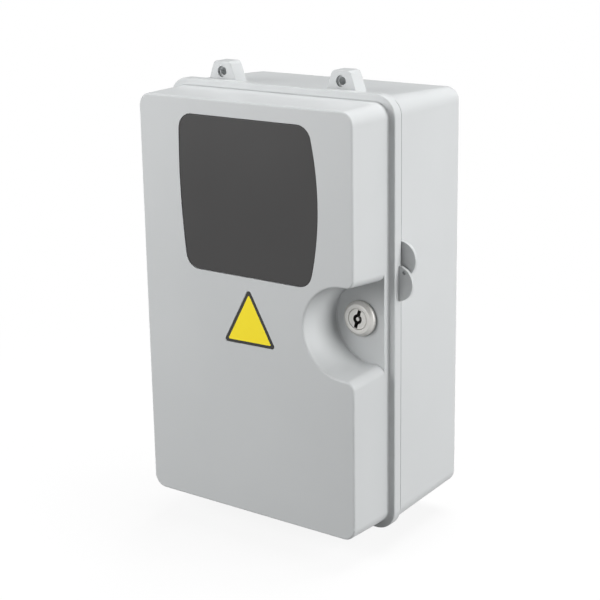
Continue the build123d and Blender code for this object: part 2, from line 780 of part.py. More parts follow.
terminal_middle = (bar_back + bar_front) / 2
with BuildPart() as terminal_bar:
    with BuildSketch(Plane.XZ.offset(bar_back)):
        with Locations((0, bar_z)):
            Rectangle(bar_length, bar_width)
        with Locations(*bar_screw_places):
            screw_hole(bar_screw_radius + screw_hole_fit)
    extrude(amount=bar_thickness)
    # Wire holes through its width
    with BuildSketch(Plane.XY.offset(bar_z - bar_width / 2)):
        with Locations((0, -terminal_middle)):
            with GridLocations(terminal_pitch, 1, terminal_count, 1):
                RegularPolygon(wire_hole_radius, fastener_sides)
    extrude(amount=bar_width, mode=Mode.SUBTRACT)
    # Seats of the terminal screws
    with BuildSketch(Plane.XZ.offset(bar_front)):
        with Locations((0, bar_z)):
            with GridLocations(terminal_pitch, 1, terminal_count, 1):
                RegularPolygon(terminal_screw_radius + screw_hole_fit, fastener_sides)
    extrude(amount=-terminal_screw_sink, mode=Mode.SUBTRACT)
finish(terminal_bar.part, "terminal_bar")

with BuildPart() as bar_screws:
    with BuildSketch(Plane.XZ.offset(bar_front)):
        with Locations(*bar_screw_places):
            RegularPolygon(bar_screw_head_radius, hexagon_sides)
    extrude(amount=bar_screw_head_height)
    with BuildSketch(Plane.XZ.offset(bar_front)):
        with Locations(*bar_screw_places):
            RegularPolygon(bar_screw_radius, fastener_sides)
    extrude(amount=-(bar_front - plate_back + bar_screw_tail))
finish(bar_screws.part, "bar_screws")

with BuildPart() as terminal_screws:
    with BuildSketch(Plane.XZ.offset(bar_front - terminal_screw_sink)):
        with Locations((0, bar_z)):
            with GridLocations(terminal_pitch, 1, terminal_count, 1):
                RegularPolygon(terminal_screw_radius, fastener_sides)
    extrude(amount=terminal_screw_sink + terminal_screw_stand)
finish(terminal_screws.part, "terminal_screws")
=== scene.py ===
import math

import bpy
import bmesh
from mathutils import Matrix, Vector


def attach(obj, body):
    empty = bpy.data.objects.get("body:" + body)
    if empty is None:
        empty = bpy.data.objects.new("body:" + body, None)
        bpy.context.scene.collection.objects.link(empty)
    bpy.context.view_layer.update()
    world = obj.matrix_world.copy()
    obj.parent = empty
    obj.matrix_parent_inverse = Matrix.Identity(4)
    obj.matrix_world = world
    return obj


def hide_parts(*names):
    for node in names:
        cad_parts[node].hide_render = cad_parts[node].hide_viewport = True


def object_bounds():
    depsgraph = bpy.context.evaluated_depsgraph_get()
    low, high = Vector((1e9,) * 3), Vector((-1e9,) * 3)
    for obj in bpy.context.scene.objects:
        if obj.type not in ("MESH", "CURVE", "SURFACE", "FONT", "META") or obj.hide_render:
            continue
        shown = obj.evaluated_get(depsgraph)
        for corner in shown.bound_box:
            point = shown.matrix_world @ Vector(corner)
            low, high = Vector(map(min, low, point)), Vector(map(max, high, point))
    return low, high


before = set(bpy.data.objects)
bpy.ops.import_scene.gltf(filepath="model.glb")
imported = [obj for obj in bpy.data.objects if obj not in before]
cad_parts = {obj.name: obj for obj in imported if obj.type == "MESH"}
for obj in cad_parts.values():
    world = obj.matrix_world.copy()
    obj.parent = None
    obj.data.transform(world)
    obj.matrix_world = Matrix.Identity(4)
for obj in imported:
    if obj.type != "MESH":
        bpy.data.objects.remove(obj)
cad_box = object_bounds()
scene = bpy.context.scene

# View, as in the photograph: from the right of the door and a little above it.
# The angles, the distance and the aimed point come from a camera fitted to the photographed edges.
VIEW_AZIMUTH = math.radians(36.82)
VIEW_ELEVATION = math.radians(15.68)
VIEW_ROLL = math.radians(-0.946)
VIEW_DISTANCE = 1.0455
VIEW_TARGET = Vector((0.0139, -0.0901, 0.0075))
VIEW_SHIFT = (0.0056, -0.0101)
FOCAL_PIXELS = 1519.3
FRAME_PIXELS = 600
SENSOR_WIDTH = 36.0

camera_data = bpy.data.cameras.new("camera")
camera_data.sensor_width = SENSOR_WIDTH
camera_data.lens = FOCAL_PIXELS / FRAME_PIXELS * SENSOR_WIDTH
camera_data.shift_x, camera_data.shift_y = VIEW_SHIFT
camera_data.clip_start = 0.05
camera_data.clip_end = 60.0
camera = bpy.data.objects.new("camera", camera_data)
scene.collection.objects.link(camera)
view_back = Vector(
    (
        math.sin(VIEW_AZIMUTH) * math.cos(VIEW_ELEVATION),
        -math.cos(VIEW_AZIMUTH) * math.cos(VIEW_ELEVATION),
        math.sin(VIEW_ELEVATION),
    )
)
level_right = Vector((0, 0, 1)).cross(view_back).normalized()
level_up = view_back.cross(level_right)
view_right = level_right * math.cos(VIEW_ROLL) + level_up * math.sin(VIEW_ROLL)
view_up = level_up * math.cos(VIEW_ROLL) - level_right * math.sin(VIEW_ROLL)
turn = Matrix((view_right, view_up, view_back)).transposed()
camera.matrix_world = Matrix.Translation(VIEW_TARGET + view_back * VIEW_DISTANCE) @ turn.to_4x4()
scene.camera = camera
scene.view_settings.view_transform = "Standard"


# Studio: a white floor that runs to the horizon, and large soft lamps.
# The right lamp stands level with the wall, so that it lights the sides and not the front faces.
FLOOR_GAP = 0.003
FLOOR_SIZE = 40.0
FLOOR_WHITE = 0.9
FLOOR_BOUNCE = 0.08
FLOOR_GLOW = 0.88
FADE_START = 0.2
FADE_END = 0.6
SKY_LIGHT = 0.03


def soft_lamp(name, place, aim, width, height, watts):
    """White area lamp at a place, turned to an aimed point."""
    data = bpy.data.lights.new(name, "AREA")
    data.shape = "RECTANGLE"
    data.size = width
    data.size_y = height
    data.energy = watts
    lamp = bpy.data.objects.new(name, data)
    scene.collection.objects.link(lamp)
    lamp.location = place
    lamp.rotation_mode = "QUATERNION"
    lamp.rotation_quaternion = (Vector(aim) - Vector(place)).to_track_quat("-Z", "Y")


soft_lamp("lamp_right", (1.7, 0.30, 0.30), (0.09, -0.05, 0.0), 1.0, 1.8, 41.5)
soft_lamp("lamp_left_front", (-0.62, -1.05, 0.45), (0.0, -0.1, 0.05), 1.2, 0.7, 14.5)
soft_lamp("lamp_low_front", (0.45, -1.25, 0.10), (0.0, -0.1, 0.05), 0.8, 0.6, 1.8)
soft_lamp("lamp_top", (0.1, 0.60, 1.9), (0.0, -0.05, 0.1), 1.4, 1.0, 38.0)

floor_mesh = bpy.data.meshes.new("studio_floor")
floor_z = cad_box[0].z - FLOOR_GAP
half = FLOOR_SIZE / 2
floor_mesh.from_pydata(
    [(-half, -half, floor_z), (half, -half, floor_z), (half, half, floor_z), (-half, half, floor_z)],
    [],
    [(0, 1, 2, 3)],
)
floor = bpy.data.objects.new("studio_floor", floor_mesh)
scene.collection.objects.link(floor)


def node_material(name):
    """Empty node material with its output and a principled shader joined to it."""
    material = bpy.data.materials.new(name)
    material.use_nodes = True
    tree = material.node_tree
    tree.nodes.clear()
    output = tree.nodes.new("ShaderNodeOutputMaterial")
    shader = tree.nodes.new("ShaderNodeBsdfPrincipled")
    tree.links.new(shader.outputs["BSDF"], output.inputs["Surface"])
    return material, tree, shader, output


material, tree, shader, output = node_material("studio_white")
shader.inputs["Roughness"].default_value = 0.9
seen = tree.nodes.new("ShaderNodeLightPath")
white = tree.nodes.new("ShaderNodeMapRange")
white.inputs["To Min"].default_value = FLOOR_BOUNCE
white.inputs["To Max"].default_value = FLOOR_WHITE
tree.links.new(seen.outputs["Is Camera Ray"], white.inputs["Value"])
tree.links.new(white.outputs["Result"], shader.inputs["Base Color"])
glow = tree.nodes.new("ShaderNodeEmission")
glow.inputs["Strength"].default_value = 1.0
blend = tree.nodes.new("ShaderNodeMixShader")
place = tree.nodes.new("ShaderNodeTexCoord")
reach = tree.nodes.new("ShaderNodeVectorMath")
reach.operation = "LENGTH"
fade = tree.nodes.new("ShaderNodeMapRange")
fade.inputs["From Min"].default_value = FADE_START
fade.inputs["From Max"].default_value = FADE_END
fade.inputs["To Min"].default_value = FLOOR_GLOW
fade.inputs["To Max"].default_value = 1.0
share = tree.nodes.new("ShaderNodeMath")
share.operation = "MULTIPLY"
tree.links.new(place.outputs["Object"], reach.inputs[0])
tree.links.new(reach.outputs["Value"], fade.inputs["Value"])
tree.links.new(fade.outputs["Result"], share.inputs[1])
rays = tree.nodes.new("ShaderNodeMath")
rays.operation = "MAXIMUM"
tree.links.new(seen.outputs["Is Camera Ray"], rays.inputs[0])
tree.links.new(seen.outputs["Is Glossy Ray"], rays.inputs[1])
tree.links.new(rays.outputs[0], share.inputs[0])
tree.links.new(share.outputs[0], blend.inputs["Fac"])
tree.links.new(shader.outputs["BSDF"], blend.inputs[1])
tree.links.new(glow.outputs["Emission"], blend.inputs[2])
tree.links.new(blend.outputs["Shader"], output.inputs["Surface"])
floor_mesh.materials.append(material)

world = bpy.data.worlds.new("studio_world")
world.use_nodes = True
sky = world.node_tree.nodes["Background"]
sky_path = world.node_tree.nodes.new("ShaderNodeLightPath")
sky_strength = world.node_tree.nodes.new("ShaderNodeMapRange")
sky.inputs["Color"].default_value = (1, 1, 1, 1)
sky_strength.inputs["To Min"].default_value = SKY_LIGHT
sky_strength.inputs["To Max"].default_value = 1.0
world.node_tree.links.new(sky_path.outputs["Is Camera Ray"], sky_strength.inputs["Value"])
world.node_tree.links.new(sky_strength.outputs["Result"], sky.inputs["Strength"])
scene.world = world


# Rear box: the half that stays on the wall, one moulding in light grey plastic of 3 mm.
# Its sides taper to the back, and lugs, seal ear, hinge knuckles and plate bosses are moulded on.
# A tongue on its rim stands in the channel of the door and presses into the gasket.
material, tree, shader, output = node_material("moulded_grey_plastic")
place = tree.nodes.new("ShaderNodeTexCoord")
cloud = tree.nodes.new("ShaderNodeTexNoise")
cloud.inputs["Scale"].default_value = 9.0
cloud.inputs["Detail"].default_value = 3.0
tint = tree.nodes.new("ShaderNodeValToRGB")
tint.color_ramp.elements[0].position = 0.3
tint.color_ramp.elements[0].color = (0.560, 0.575, 0.580, 1)
tint.color_ramp.elements[1].position = 0.7
tint.color_ramp.elements[1].color = (0.585, 0.600, 0.605, 1)
grain = tree.nodes.new("ShaderNodeTexNoise")
grain.inputs["Scale"].default_value = 1400.0
grain.inputs["Detail"].default_value = 2.0
bump = tree.nodes.new("ShaderNodeBump")
bump.inputs["Strength"].default_value = 0.06
bump.inputs["Distance"].default_value = 0.0002
gloss = tree.nodes.new("ShaderNodeMapRange")
gloss.inputs["To Min"].default_value = 0.36
gloss.inputs["To Max"].default_value = 0.46
tree.links.new(place.outputs["Object"], cloud.inputs["Vector"])
tree.links.new(place.outputs["Object"], grain.inputs["Vector"])
tree.links.new(cloud.outputs["Fac"], tint.inputs["Fac"])
tree.links.new(tint.outputs["Color"], shader.inputs["Base Color"])
tree.links.new(cloud.outputs["Fac"], gloss.inputs["Value"])
tree.links.new(gloss.outputs["Result"], shader.inputs["Roughness"])
tree.links.new(grain.outputs["Fac"], bump.inputs["Height"])
tree.links.new(bump.outputs["Normal"], shader.inputs["Normal"])
shader.inputs["IOR"].default_value = 1.49
grey_plastic = material

FLANGE_HALF_WIDTH = 0.0943
FLANGE_HALF_HEIGHT = 0.150
FLANGE_CORNER = 0.015
CORNER_STEPS = 16


def enclosure_ring(inset, depth):
    """Points round the enclosure, inset from the flange outline, at a depth in front of the wall."""
    radius = FLANGE_CORNER - inset
    ring = []
    for quarter, (side, level) in enumerate(((1, 1), (-1, 1), (-1, -1), (1, -1))):
        for step in range(CORNER_STEPS + 1):
            angle = math.radians(90 * (quarter + step / CORNER_STEPS))
            ring.append(
                Vector(
                    (
                        side * (FLANGE_HALF_WIDTH - FLANGE_CORNER) + radius * math.cos(angle),
                        -depth,
                        level * (FLANGE_HALF_HEIGHT - FLANGE_CORNER) + radius * math.sin(angle),
                    )
                )
            )
    return ring


def made_solid(name, rings, closed=False):
    """Solid through rings of equally many points, with flat ends or closed on itself."""
    shape = bmesh.new()
    loops = [[shape.verts.new(point) for point in ring] for ring in rings]
    pairs = list(zip(loops, loops[1:]))
    if closed:
        pairs.append((loops[-1], loops[0]))
    else:
        shape.faces.new(loops[0][::-1])
        shape.faces.new(loops[-1])
    for near, far in pairs:
        for i in range(len(near)):
            j = (i + 1) % len(near)
            shape.faces.new((near[i], near[j], far[j], far[i]))
    bmesh.ops.recalc_face_normals(shape, faces=shape.faces)
    mesh = bpy.data.meshes.new(name)
    shape.to_mesh(mesh)
    shape.free()
    solid = bpy.data.objects.new(name, mesh)
    scene.collection.objects.link(solid)
    return solid


def inset_outline(outline, inset):
    """Outline moved inwards, for outlines that run anticlockwise seen from the front."""
    moved = []
    count = len(outline)
    for i in range(count):
        here = Vector(outline[i])
        along_in = (here - Vector(outline[i - 1])).normalized()
        along_out = (Vector(outline[(i + 1) % count]) - here).normalized()
        across = (along_in + along_out).normalized()
        normal = Vector((-across.y, across.x))
        lean = max(normal.dot(Vector((-along_in.y, along_in.x))), 0.3)
        moved.append(here + normal * (inset / lean))
    return moved


def plate_solid(name, outline, back, front, back_edge, front_edge, steps=4):
    """Flat piece of a given outline between two depths, with rounded edges at its back and front."""
    levels = []
    for step in range(steps + 1):
        angle = math.radians(90 * step / steps)
        levels.append((back_edge * (1 - math.sin(angle)), back + back_edge * (1 - math.cos(angle))))
    for step in range(steps, -1, -1):
        angle = math.radians(90 * step / steps)
        levels.append((front_edge * (1 - math.sin(angle)), front - front_edge * (1 - math.cos(angle))))
    if back_edge == 0:
        levels = levels[steps:]
    if front_edge == 0:
        levels = levels[: len(levels) - steps]
    rings = []
    for inset, depth in levels:
        rings.append([Vector((p[0], -depth, p[1])) for p in inset_outline(outline, inset)])
    return made_solid(name, rings)


def disc_outline(centre, radius, steps, first=0.0, last=360.0):
    """Points on a circle, or on an arc of it, anticlockwise seen from the front."""
    whole = last - first >= 360.0
    points = []
    for step in range(steps if whole else steps + 1):
        angle = math.radians(first + (last - first) * step / steps)
        points.append((centre[0] + radius * math.cos(angle), centre[1] + radius * math.sin(angle)))
    return points


def gathered(name, solids):
    """Solids that stand clear of each other, as one object."""
    shape = bmesh.new()
    for solid in solids:
        shape.from_mesh(solid.data)
        bpy.data.objects.remove(solid)
    mesh = bpy.data.meshes.new(name)
    shape.to_mesh(mesh)
    shape.free()
    joined = bpy.data.objects.new(name, mesh)
    scene.collection.objects.link(joined)
    return joined


def worked(body, operation, tool):
    """Cut a tool out of a body, or weld it on, and drop the tool."""
    step = body.modifiers.new("step", "BOOLEAN")
    step.operation = operation
    step.solver = "EXACT"
    step.object = tool
    result = bpy.data.meshes.new_from_object(body.evaluated_get(bpy.context.evaluated_depsgraph_get()))
    body.modifiers.remove(step)
    result.name = body.name
    body.data = result
    bpy.data.objects.remove(tool)


def rounded_edges(body, chosen, radius, steps):
    """Round the edges of a body that a test picks out."""
    shape = bmesh.new()
    shape.from_mesh(body.data)
    bmesh.ops.bevel(
        shape,
        geom=[edge for edge in shape.edges if len(edge.link_faces) == 2 and chosen(edge)],
        offset=radius,
        offset_type="OFFSET",
        segments=steps,
        profile=0.5,
        affect="EDGES",
        clamp_overlap=True,
    )
    shape.to_mesh(body.data)
    shape.free()


def finished(piece, finish, body, node, sharp=32.0):
    """Shade a piece, give it its material, and let it stand for a node of the frame."""
    shape = bmesh.new()
    shape.from_mesh(piece.data)
    bmesh.ops.remove_doubles(shape, verts=shape.verts, dist=1e-6)
    shape.to_mesh(piece.data)
    shape.free()
    piece.data.shade_smooth()
    piece.data.set_sharp_from_angle(angle=math.radians(sharp))
    weigh = piece.modifiers.new("flat faces stay flat", "WEIGHTED_NORMAL")
    weigh.keep_sharp = True
    weigh.weight = 100
    piece.data.materials.clear()
    piece.data.materials.append(finish)
    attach(piece, body)
    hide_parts(node)


BOX_RIM = 0.0824
BOX_INSET = 0.002
BOX_WALL = 0.003
BOX_SLOPE = math.tan(math.radians(2.44))
BOX_REAR_EDGE = 0.003
RIM_EDGE = 0.0006
RIM_BREAK = 0.0002
GROOVE_DEPTH = 0.0005
GROOVE_FRONT = 0.0794
GROOVE_BACK = 0.0789
GROOVE_LEAN = 0.00005
EDGE_STEPS = 8
# Cutters run this far past what they cut.
PAST = 0.001


def box_inset(depth):
    """How far the outside of the box lies within the flange outline at a depth."""
    return BOX_INSET + (BOX_RIM - depth) * BOX_SLOPE


# Outside and inside are made of levels, each an inset and a depth, from the rim to the back.
outside = [
    (BOX_INSET + RIM_EDGE, BOX_RIM),
    (BOX_INSET + RIM_BREAK, BOX_RIM - RIM_BREAK),
    (BOX_INSET, BOX_RIM - RIM_EDGE),
]
for extra, depth in (
    (0.0, GROOVE_FRONT),
    (GROOVE_DEPTH, GROOVE_FRONT - GROOVE_LEAN),
    (GROOVE_DEPTH, GROOVE_BACK + GROOVE_LEAN),
    (0.0, GROOVE_BACK),
):
    outside.append((box_inset(depth) + extra, depth))
inside = [(BOX_INSET + BOX_WALL, BOX_RIM + PAST), (BOX_INSET + BOX_WALL, BOX_RIM)]
for step in range(EDGE_STEPS + 1):
    angle = math.radians(90 * step / EDGE_STEPS)
    inset = box_inset(BOX_REAR_EDGE) + BOX_REAR_EDGE * (1 - math.cos(angle))
    outside.append((inset, BOX_REAR_EDGE * (1 - math.sin(angle))))
    inset = box_inset(2 * BOX_WALL) + BOX_WALL + BOX_WALL * (1 - math.cos(angle))
    inside.append((inset, BOX_WALL + BOX_WALL * (1 - math.sin(angle))))
rear_box = made_solid("rear_box_shell", [enclosure_ring(*level) for level in outside])
worked(rear_box, "DIFFERENCE", made_solid("box_hollow", [enclosure_ring(*level) for level in inside]))

TONGUE = (
    (0.0026, 0.0818),
    (0.0026, 0.0855),
    (0.0029, 0.0858),
    (0.0041, 0.0858),
    (0.0044, 0.0855),
    (0.0044, 0.0818),
)
LUG_X = (-0.0547, 0.0457)
LUG_BACK = 0.0684
LUG_FRONT = 0.0804
LUG_FOOT = (0.013, 0.1460)
LUG_TURN = (0.0048, 0.1585)
LUG_CORNER = 0.0035
LUG_LEAN = 18.0
EAR_RADIUS = 0.0122
BOX_EAR = (0.0927, 0.0415)
BOX_EAR_DEPTHS = (0.07875, 0.0815)
BOX_ROOT = 0.0908
PLATE_BOSS = (0.060, 0.105)
BOSS_RADIUS = 0.005
BOSS_FRONT = 0.013
MOULDED_EDGE = 0.0004

welded = [made_solid("rim_tongue", [enclosure_ring(*level) for level in TONGUE], closed=True)]
for level in (1, -1):
    for lug_x in LUG_X:
        lug_outline = [LUG_FOOT]
        for side, first in ((1, LUG_LEAN), (-1, 90.0)):
            turn_at = (side * LUG_TURN[0], LUG_TURN[1])
            lug_outline += disc_outline(turn_at, LUG_CORNER, 8, first, first + 90.0 - LUG_LEAN)
        lug_outline.append((-LUG_FOOT[0], LUG_FOOT[1]))
        lug_outline = [(lug_x + x, level * z) for x, z in lug_outline]
        if level < 0:
            lug_outline.reverse()
        welded.append(plate_solid("lug", lug_outline, LUG_BACK, LUG_FRONT, 0.0005, 0.0009))
reach = math.degrees(math.acos((BOX_ROOT - BOX_EAR[0]) / EAR_RADIUS))
ear_outline = disc_outline(BOX_EAR, EAR_RADIUS, 48, -reach, reach)
welded.append(plate_solid("box_ear", ear_outline, *BOX_EAR_DEPTHS, MOULDED_EDGE, MOULDED_EDGE))
for side in (1, -1):
    for level in (1, -1):
        boss = disc_outline((side * PLATE_BOSS[0], level * PLATE_BOSS[1]), BOSS_RADIUS, 40)
        welded.append(plate_solid("plate_boss", boss, BOX_WALL / 2, BOSS_FRONT, 0.0, MOULDED_EDGE))
worked(rear_box, "UNION", gathered("box_growths", welded))

HINGE_X = -0.0988
HINGE_Y = -0.08255
KNUCKLE_RADIUS = 0.004
KNUCKLE_LENGTH = 0.014
KNUCKLE_GAP = 0.00015
ARM_START = 0.00017
HINGE_LEVELS = (0.095, -0.095)


def knuckle(name, back, end_x, low, high):
    """Hinge knuckle with its arm; back is 1 for an arm at the wall side and -1 for one at the front."""
    reach = math.degrees(math.asin(ARM_START / KNUCKLE_RADIUS))
    ring = disc_outline((HINGE_X, 0.0), KNUCKLE_RADIUS, 40, 90.0, 360.0 + reach)
    ring += [(end_x, ARM_START), (end_x, KNUCKLE_RADIUS)]
    piece = plate_solid(name, ring, 0.0, high - low, MOULDED_EDGE, MOULDED_EDGE)
    upright = Matrix(((1, 0, 0, 0), (0, 0, back, HINGE_Y), (0, -1, 0, low), (0, 0, 0, 1)))
    piece.data.transform(upright)
    shape = bmesh.new()
    shape.from_mesh(piece.data)
    bmesh.ops.recalc_face_normals(shape, faces=shape.faces)
    shape.to_mesh(piece.data)
    shape.free()
    return piece


def upright_rod(name, radius, low, high, steps=40, edge=0.0):
    """Rod on the hinge axis between two heights."""
    rod = plate_solid(name, disc_outline((HINGE_X, 0.0), radius, steps), 0.0, high - low, edge, edge)
    rod.data.transform(Matrix(((1, 0, 0, 0), (0, 0, 1, HINGE_Y), (0, -1, 0, low), (0, 0, 0, 1))))
    return rod


KEEPER_X = 0.080
KEEPER_LOW = -0.0099
KEEPER_HIGH = 0.0121
KEEPER_BACK = 0.0784
KEEPER_EDGE = 0.0005
keeper = [(KEEPER_X, KEEPER_LOW), (BOX_ROOT, KEEPER_LOW), (BOX_ROOT, KEEPER_HIGH), (KEEPER_X, KEEPER_HIGH)]
welded = [plate_solid("keeper", keeper, KEEPER_BACK, BOX_RIM, KEEPER_EDGE, KEEPER_EDGE)]
for level in HINGE_LEVELS:
    high = level - KNUCKLE_GAP
    welded.append(knuckle("box_knuckle", 1, -BOX_ROOT, high - KNUCKLE_LENGTH, high))
worked(rear_box, "UNION", gathered("rim_growths", welded))

LUG_HOLE_Z = 0.1548
LUG_HOLE_RADIUS = 0.0027
LUG_HOLE_END = 0.0790
COUNTERBORE_RADIUS = 0.0039
COUNTERBORE_FLOOR = 0.0784
COUNTERBORE_END = 0.0815
WALL_HOLE = (0.065, 0.133)
WALL_HOLE_RADIUS = 0.003
BOSS_HOLE_RADIUS = 0.002
SEAL_HOLE = (0.0984, 0.03365)
SEAL_HOLE_RADIUS = 0.0013
BOX_PIN_HOLE = 0.00153
bored = []
for level in (1, -1):
    for lug_x in LUG_X:
        disc = disc_outline((lug_x, level * LUG_HOLE_Z), LUG_HOLE_RADIUS, 40)
        bored.append(plate_solid("lug_hole", disc, LUG_BACK - PAST, LUG_HOLE_END, 0.0, 0.0))
for side in (1, -1):
    for level in (1, -1):
        disc = disc_outline((side * WALL_HOLE[0], level * WALL_HOLE[1]), WALL_HOLE_RADIUS, 40)
        bored.append(plate_solid("wall_hole", disc, -PAST, BOX_WALL + PAST, 0.0, 0.0))
        disc = disc_outline((side * PLATE_BOSS[0], level * PLATE_BOSS[1]), BOSS_HOLE_RADIUS, 24)
        bored.append(plate_solid("boss_hole", disc, BOX_WALL, BOSS_FRONT + PAST, 0.0, 0.0))
bored.append(plate_solid("seal_hole", disc_outline(SEAL_HOLE, SEAL_HOLE_RADIUS, 24), 0.078, 0.082, 0.0, 0.0))
for level in HINGE_LEVELS:
    bored.append(upright_rod("pin_hole", BOX_PIN_HOLE, level - 0.016, level + 0.002))
worked(rear_box, "DIFFERENCE", gathered("box_holes", bored))
bored = []
for level in (1, -1):
    for lug_x in LUG_X:
        disc = disc_outline((lug_x, level * LUG_HOLE_Z), COUNTERBORE_RADIUS, 48)
        bored.append(plate_solid("counterbore", disc, COUNTERBORE_FLOOR, COUNTERBORE_END, 0.0, 0.0))
NOTCH_LOW = -0.0120
NOTCH_HIGH = 0.0030
NOTCH_DEPTH = 0.0007
notch_in = FLANGE_HALF_WIDTH - BOX_INSET - 0.0012
pry_notch = [(notch_in, NOTCH_LOW), (0.1, NOTCH_LOW), (0.1, NOTCH_HIGH), (notch_in, NOTCH_HIGH)]
bored.append(plate_solid("pry_notch", pry_notch, BOX_RIM - NOTCH_DEPTH, BOX_RIM + PAST, 0.0, 0.0))
worked(rear_box, "DIFFERENCE", gathered("counterbores", bored))

KNOCKOUT_RADIUS = 0.0125
KNOCKOUT_PITCH = 0.048
KNOCKOUT_DEPTH = 0.0014
bottom_z = -(FLANGE_HALF_HEIGHT - box_inset(BOX_RIM / 2))
bored = []
for column in (-1, 0, 1):
    disc = disc_outline((column * KNOCKOUT_PITCH, BOX_RIM / 2), KNOCKOUT_RADIUS, 64)
    tool = plate_solid("knockout", disc, 0.0, 2 * KNOCKOUT_DEPTH, 0.0, 0.0)
    tool.data.transform(
        Matrix(((1, 0, 0, 0), (0, 0, -1, 0), (0, 1, 0, bottom_z + KNOCKOUT_DEPTH), (0, 0, 0, 1)))
    )
    bored.append(tool)
worked(rear_box, "DIFFERENCE", gathered("knockouts", bored))
finished(rear_box, grey_plastic, "root", "rear_box")


# Mounting plate: zinc-plated sheet of 2 mm with rounded corners, on the four bosses of the box.
# Screws hold it there, and everything inside stands on it.
material, tree, shader, output = node_material("zinc_plated_steel")
place = tree.nodes.new("ShaderNodeTexCoord")
spangle = tree.nodes.new("ShaderNodeTexVoronoi")
spangle.inputs["Scale"].default_value = 160.0
tint = tree.nodes.new("ShaderNodeValToRGB")
tint.color_ramp.elements[0].color = (0.50, 0.51, 0.53, 1)
tint.color_ramp.elements[1].color = (0.66, 0.67, 0.69, 1)
gloss = tree.nodes.new("ShaderNodeMapRange")
gloss.inputs["To Min"].default_value = 0.26
gloss.inputs["To Max"].default_value = 0.42
tree.links.new(place.outputs["Object"], spangle.inputs["Vector"])
tree.links.new(spangle.outputs["Color"], tint.inputs["Fac"])
tree.links.new(tint.outputs["Color"], shader.inputs["Base Color"])
tree.links.new(spangle.outputs["Distance"], gloss.inputs["Value"])
tree.links.new(gloss.outputs["Result"], shader.inputs["Roughness"])
shader.inputs["Metallic"].default_value = 1.0
zinc_steel = material

PLATE_FRONT = 0.015
PLATE_SHEET = 0.002
PLATE_HALF_WIDTH = 0.075
PLATE_HALF_HEIGHT = 0.123
PLATE_CORNER = 0.004
SHEET_EDGE = 0.0002
RAIL_Z = 0.07965
BRACKET_X = 0.050
BRACKET_SCREW_X = 0.0145
BAR_Z = -0.095
BAR_FOOT_X = 0.046


def rounded_block(centre, half_x, half_z, radius, steps=8):
    """Outline of a rounded rectangle about a centre, in X and Z."""
    outline = []
    for quarter, (side, level) in enumerate(((1, 1), (-1, 1), (-1, -1), (1, -1))):
        turn_at = (centre[0] + side * (half_x - radius), centre[1] + level * (half_z - radius))
        outline += disc_outline(turn_at, radius, steps, 90.0 * quarter, 90.0 * (quarter + 1))
    return outline


plate_screw_places = [(x * PLATE_BOSS[0], z * PLATE_BOSS[1]) for x in (-1, 1) for z in (-1, 1)]
bracket_screw_places = [
    (side * BRACKET_X + foot * BRACKET_SCREW_X, RAIL_Z) for side in (-1, 1) for foot in (-1, 1)
]
bar_screw_places = [(-BAR_FOOT_X, BAR_Z), (BAR_FOOT_X, BAR_Z)]
rail_screw_places = [(-BRACKET_X, RAIL_Z), (BRACKET_X, RAIL_Z)]
plate_back = PLATE_FRONT - PLATE_SHEET
sheet_outline = rounded_block((0, 0), PLATE_HALF_WIDTH, PLATE_HALF_HEIGHT, PLATE_CORNER)
mounting_plate = plate_solid("mounting_sheet", sheet_outline, plate_back, PLATE_FRONT, SHEET_EDGE, SHEET_EDGE)
bored = []
for places, radius in (
    (plate_screw_places, 0.002),
    (bracket_screw_places, 0.0016),
    (bar_screw_places, 0.0017),
):
    for centre in places:
        disc = disc_outline(centre, radius, 24)
        bored.append(plate_solid("hole", disc, plate_back - PAST, PLATE_FRONT + PAST, 0.0, 0.0))
worked(mounting_plate, "DIFFERENCE", gathered("plate_holes", bored))
finished(mounting_plate, zinc_steel, "root", "mounting_plate")


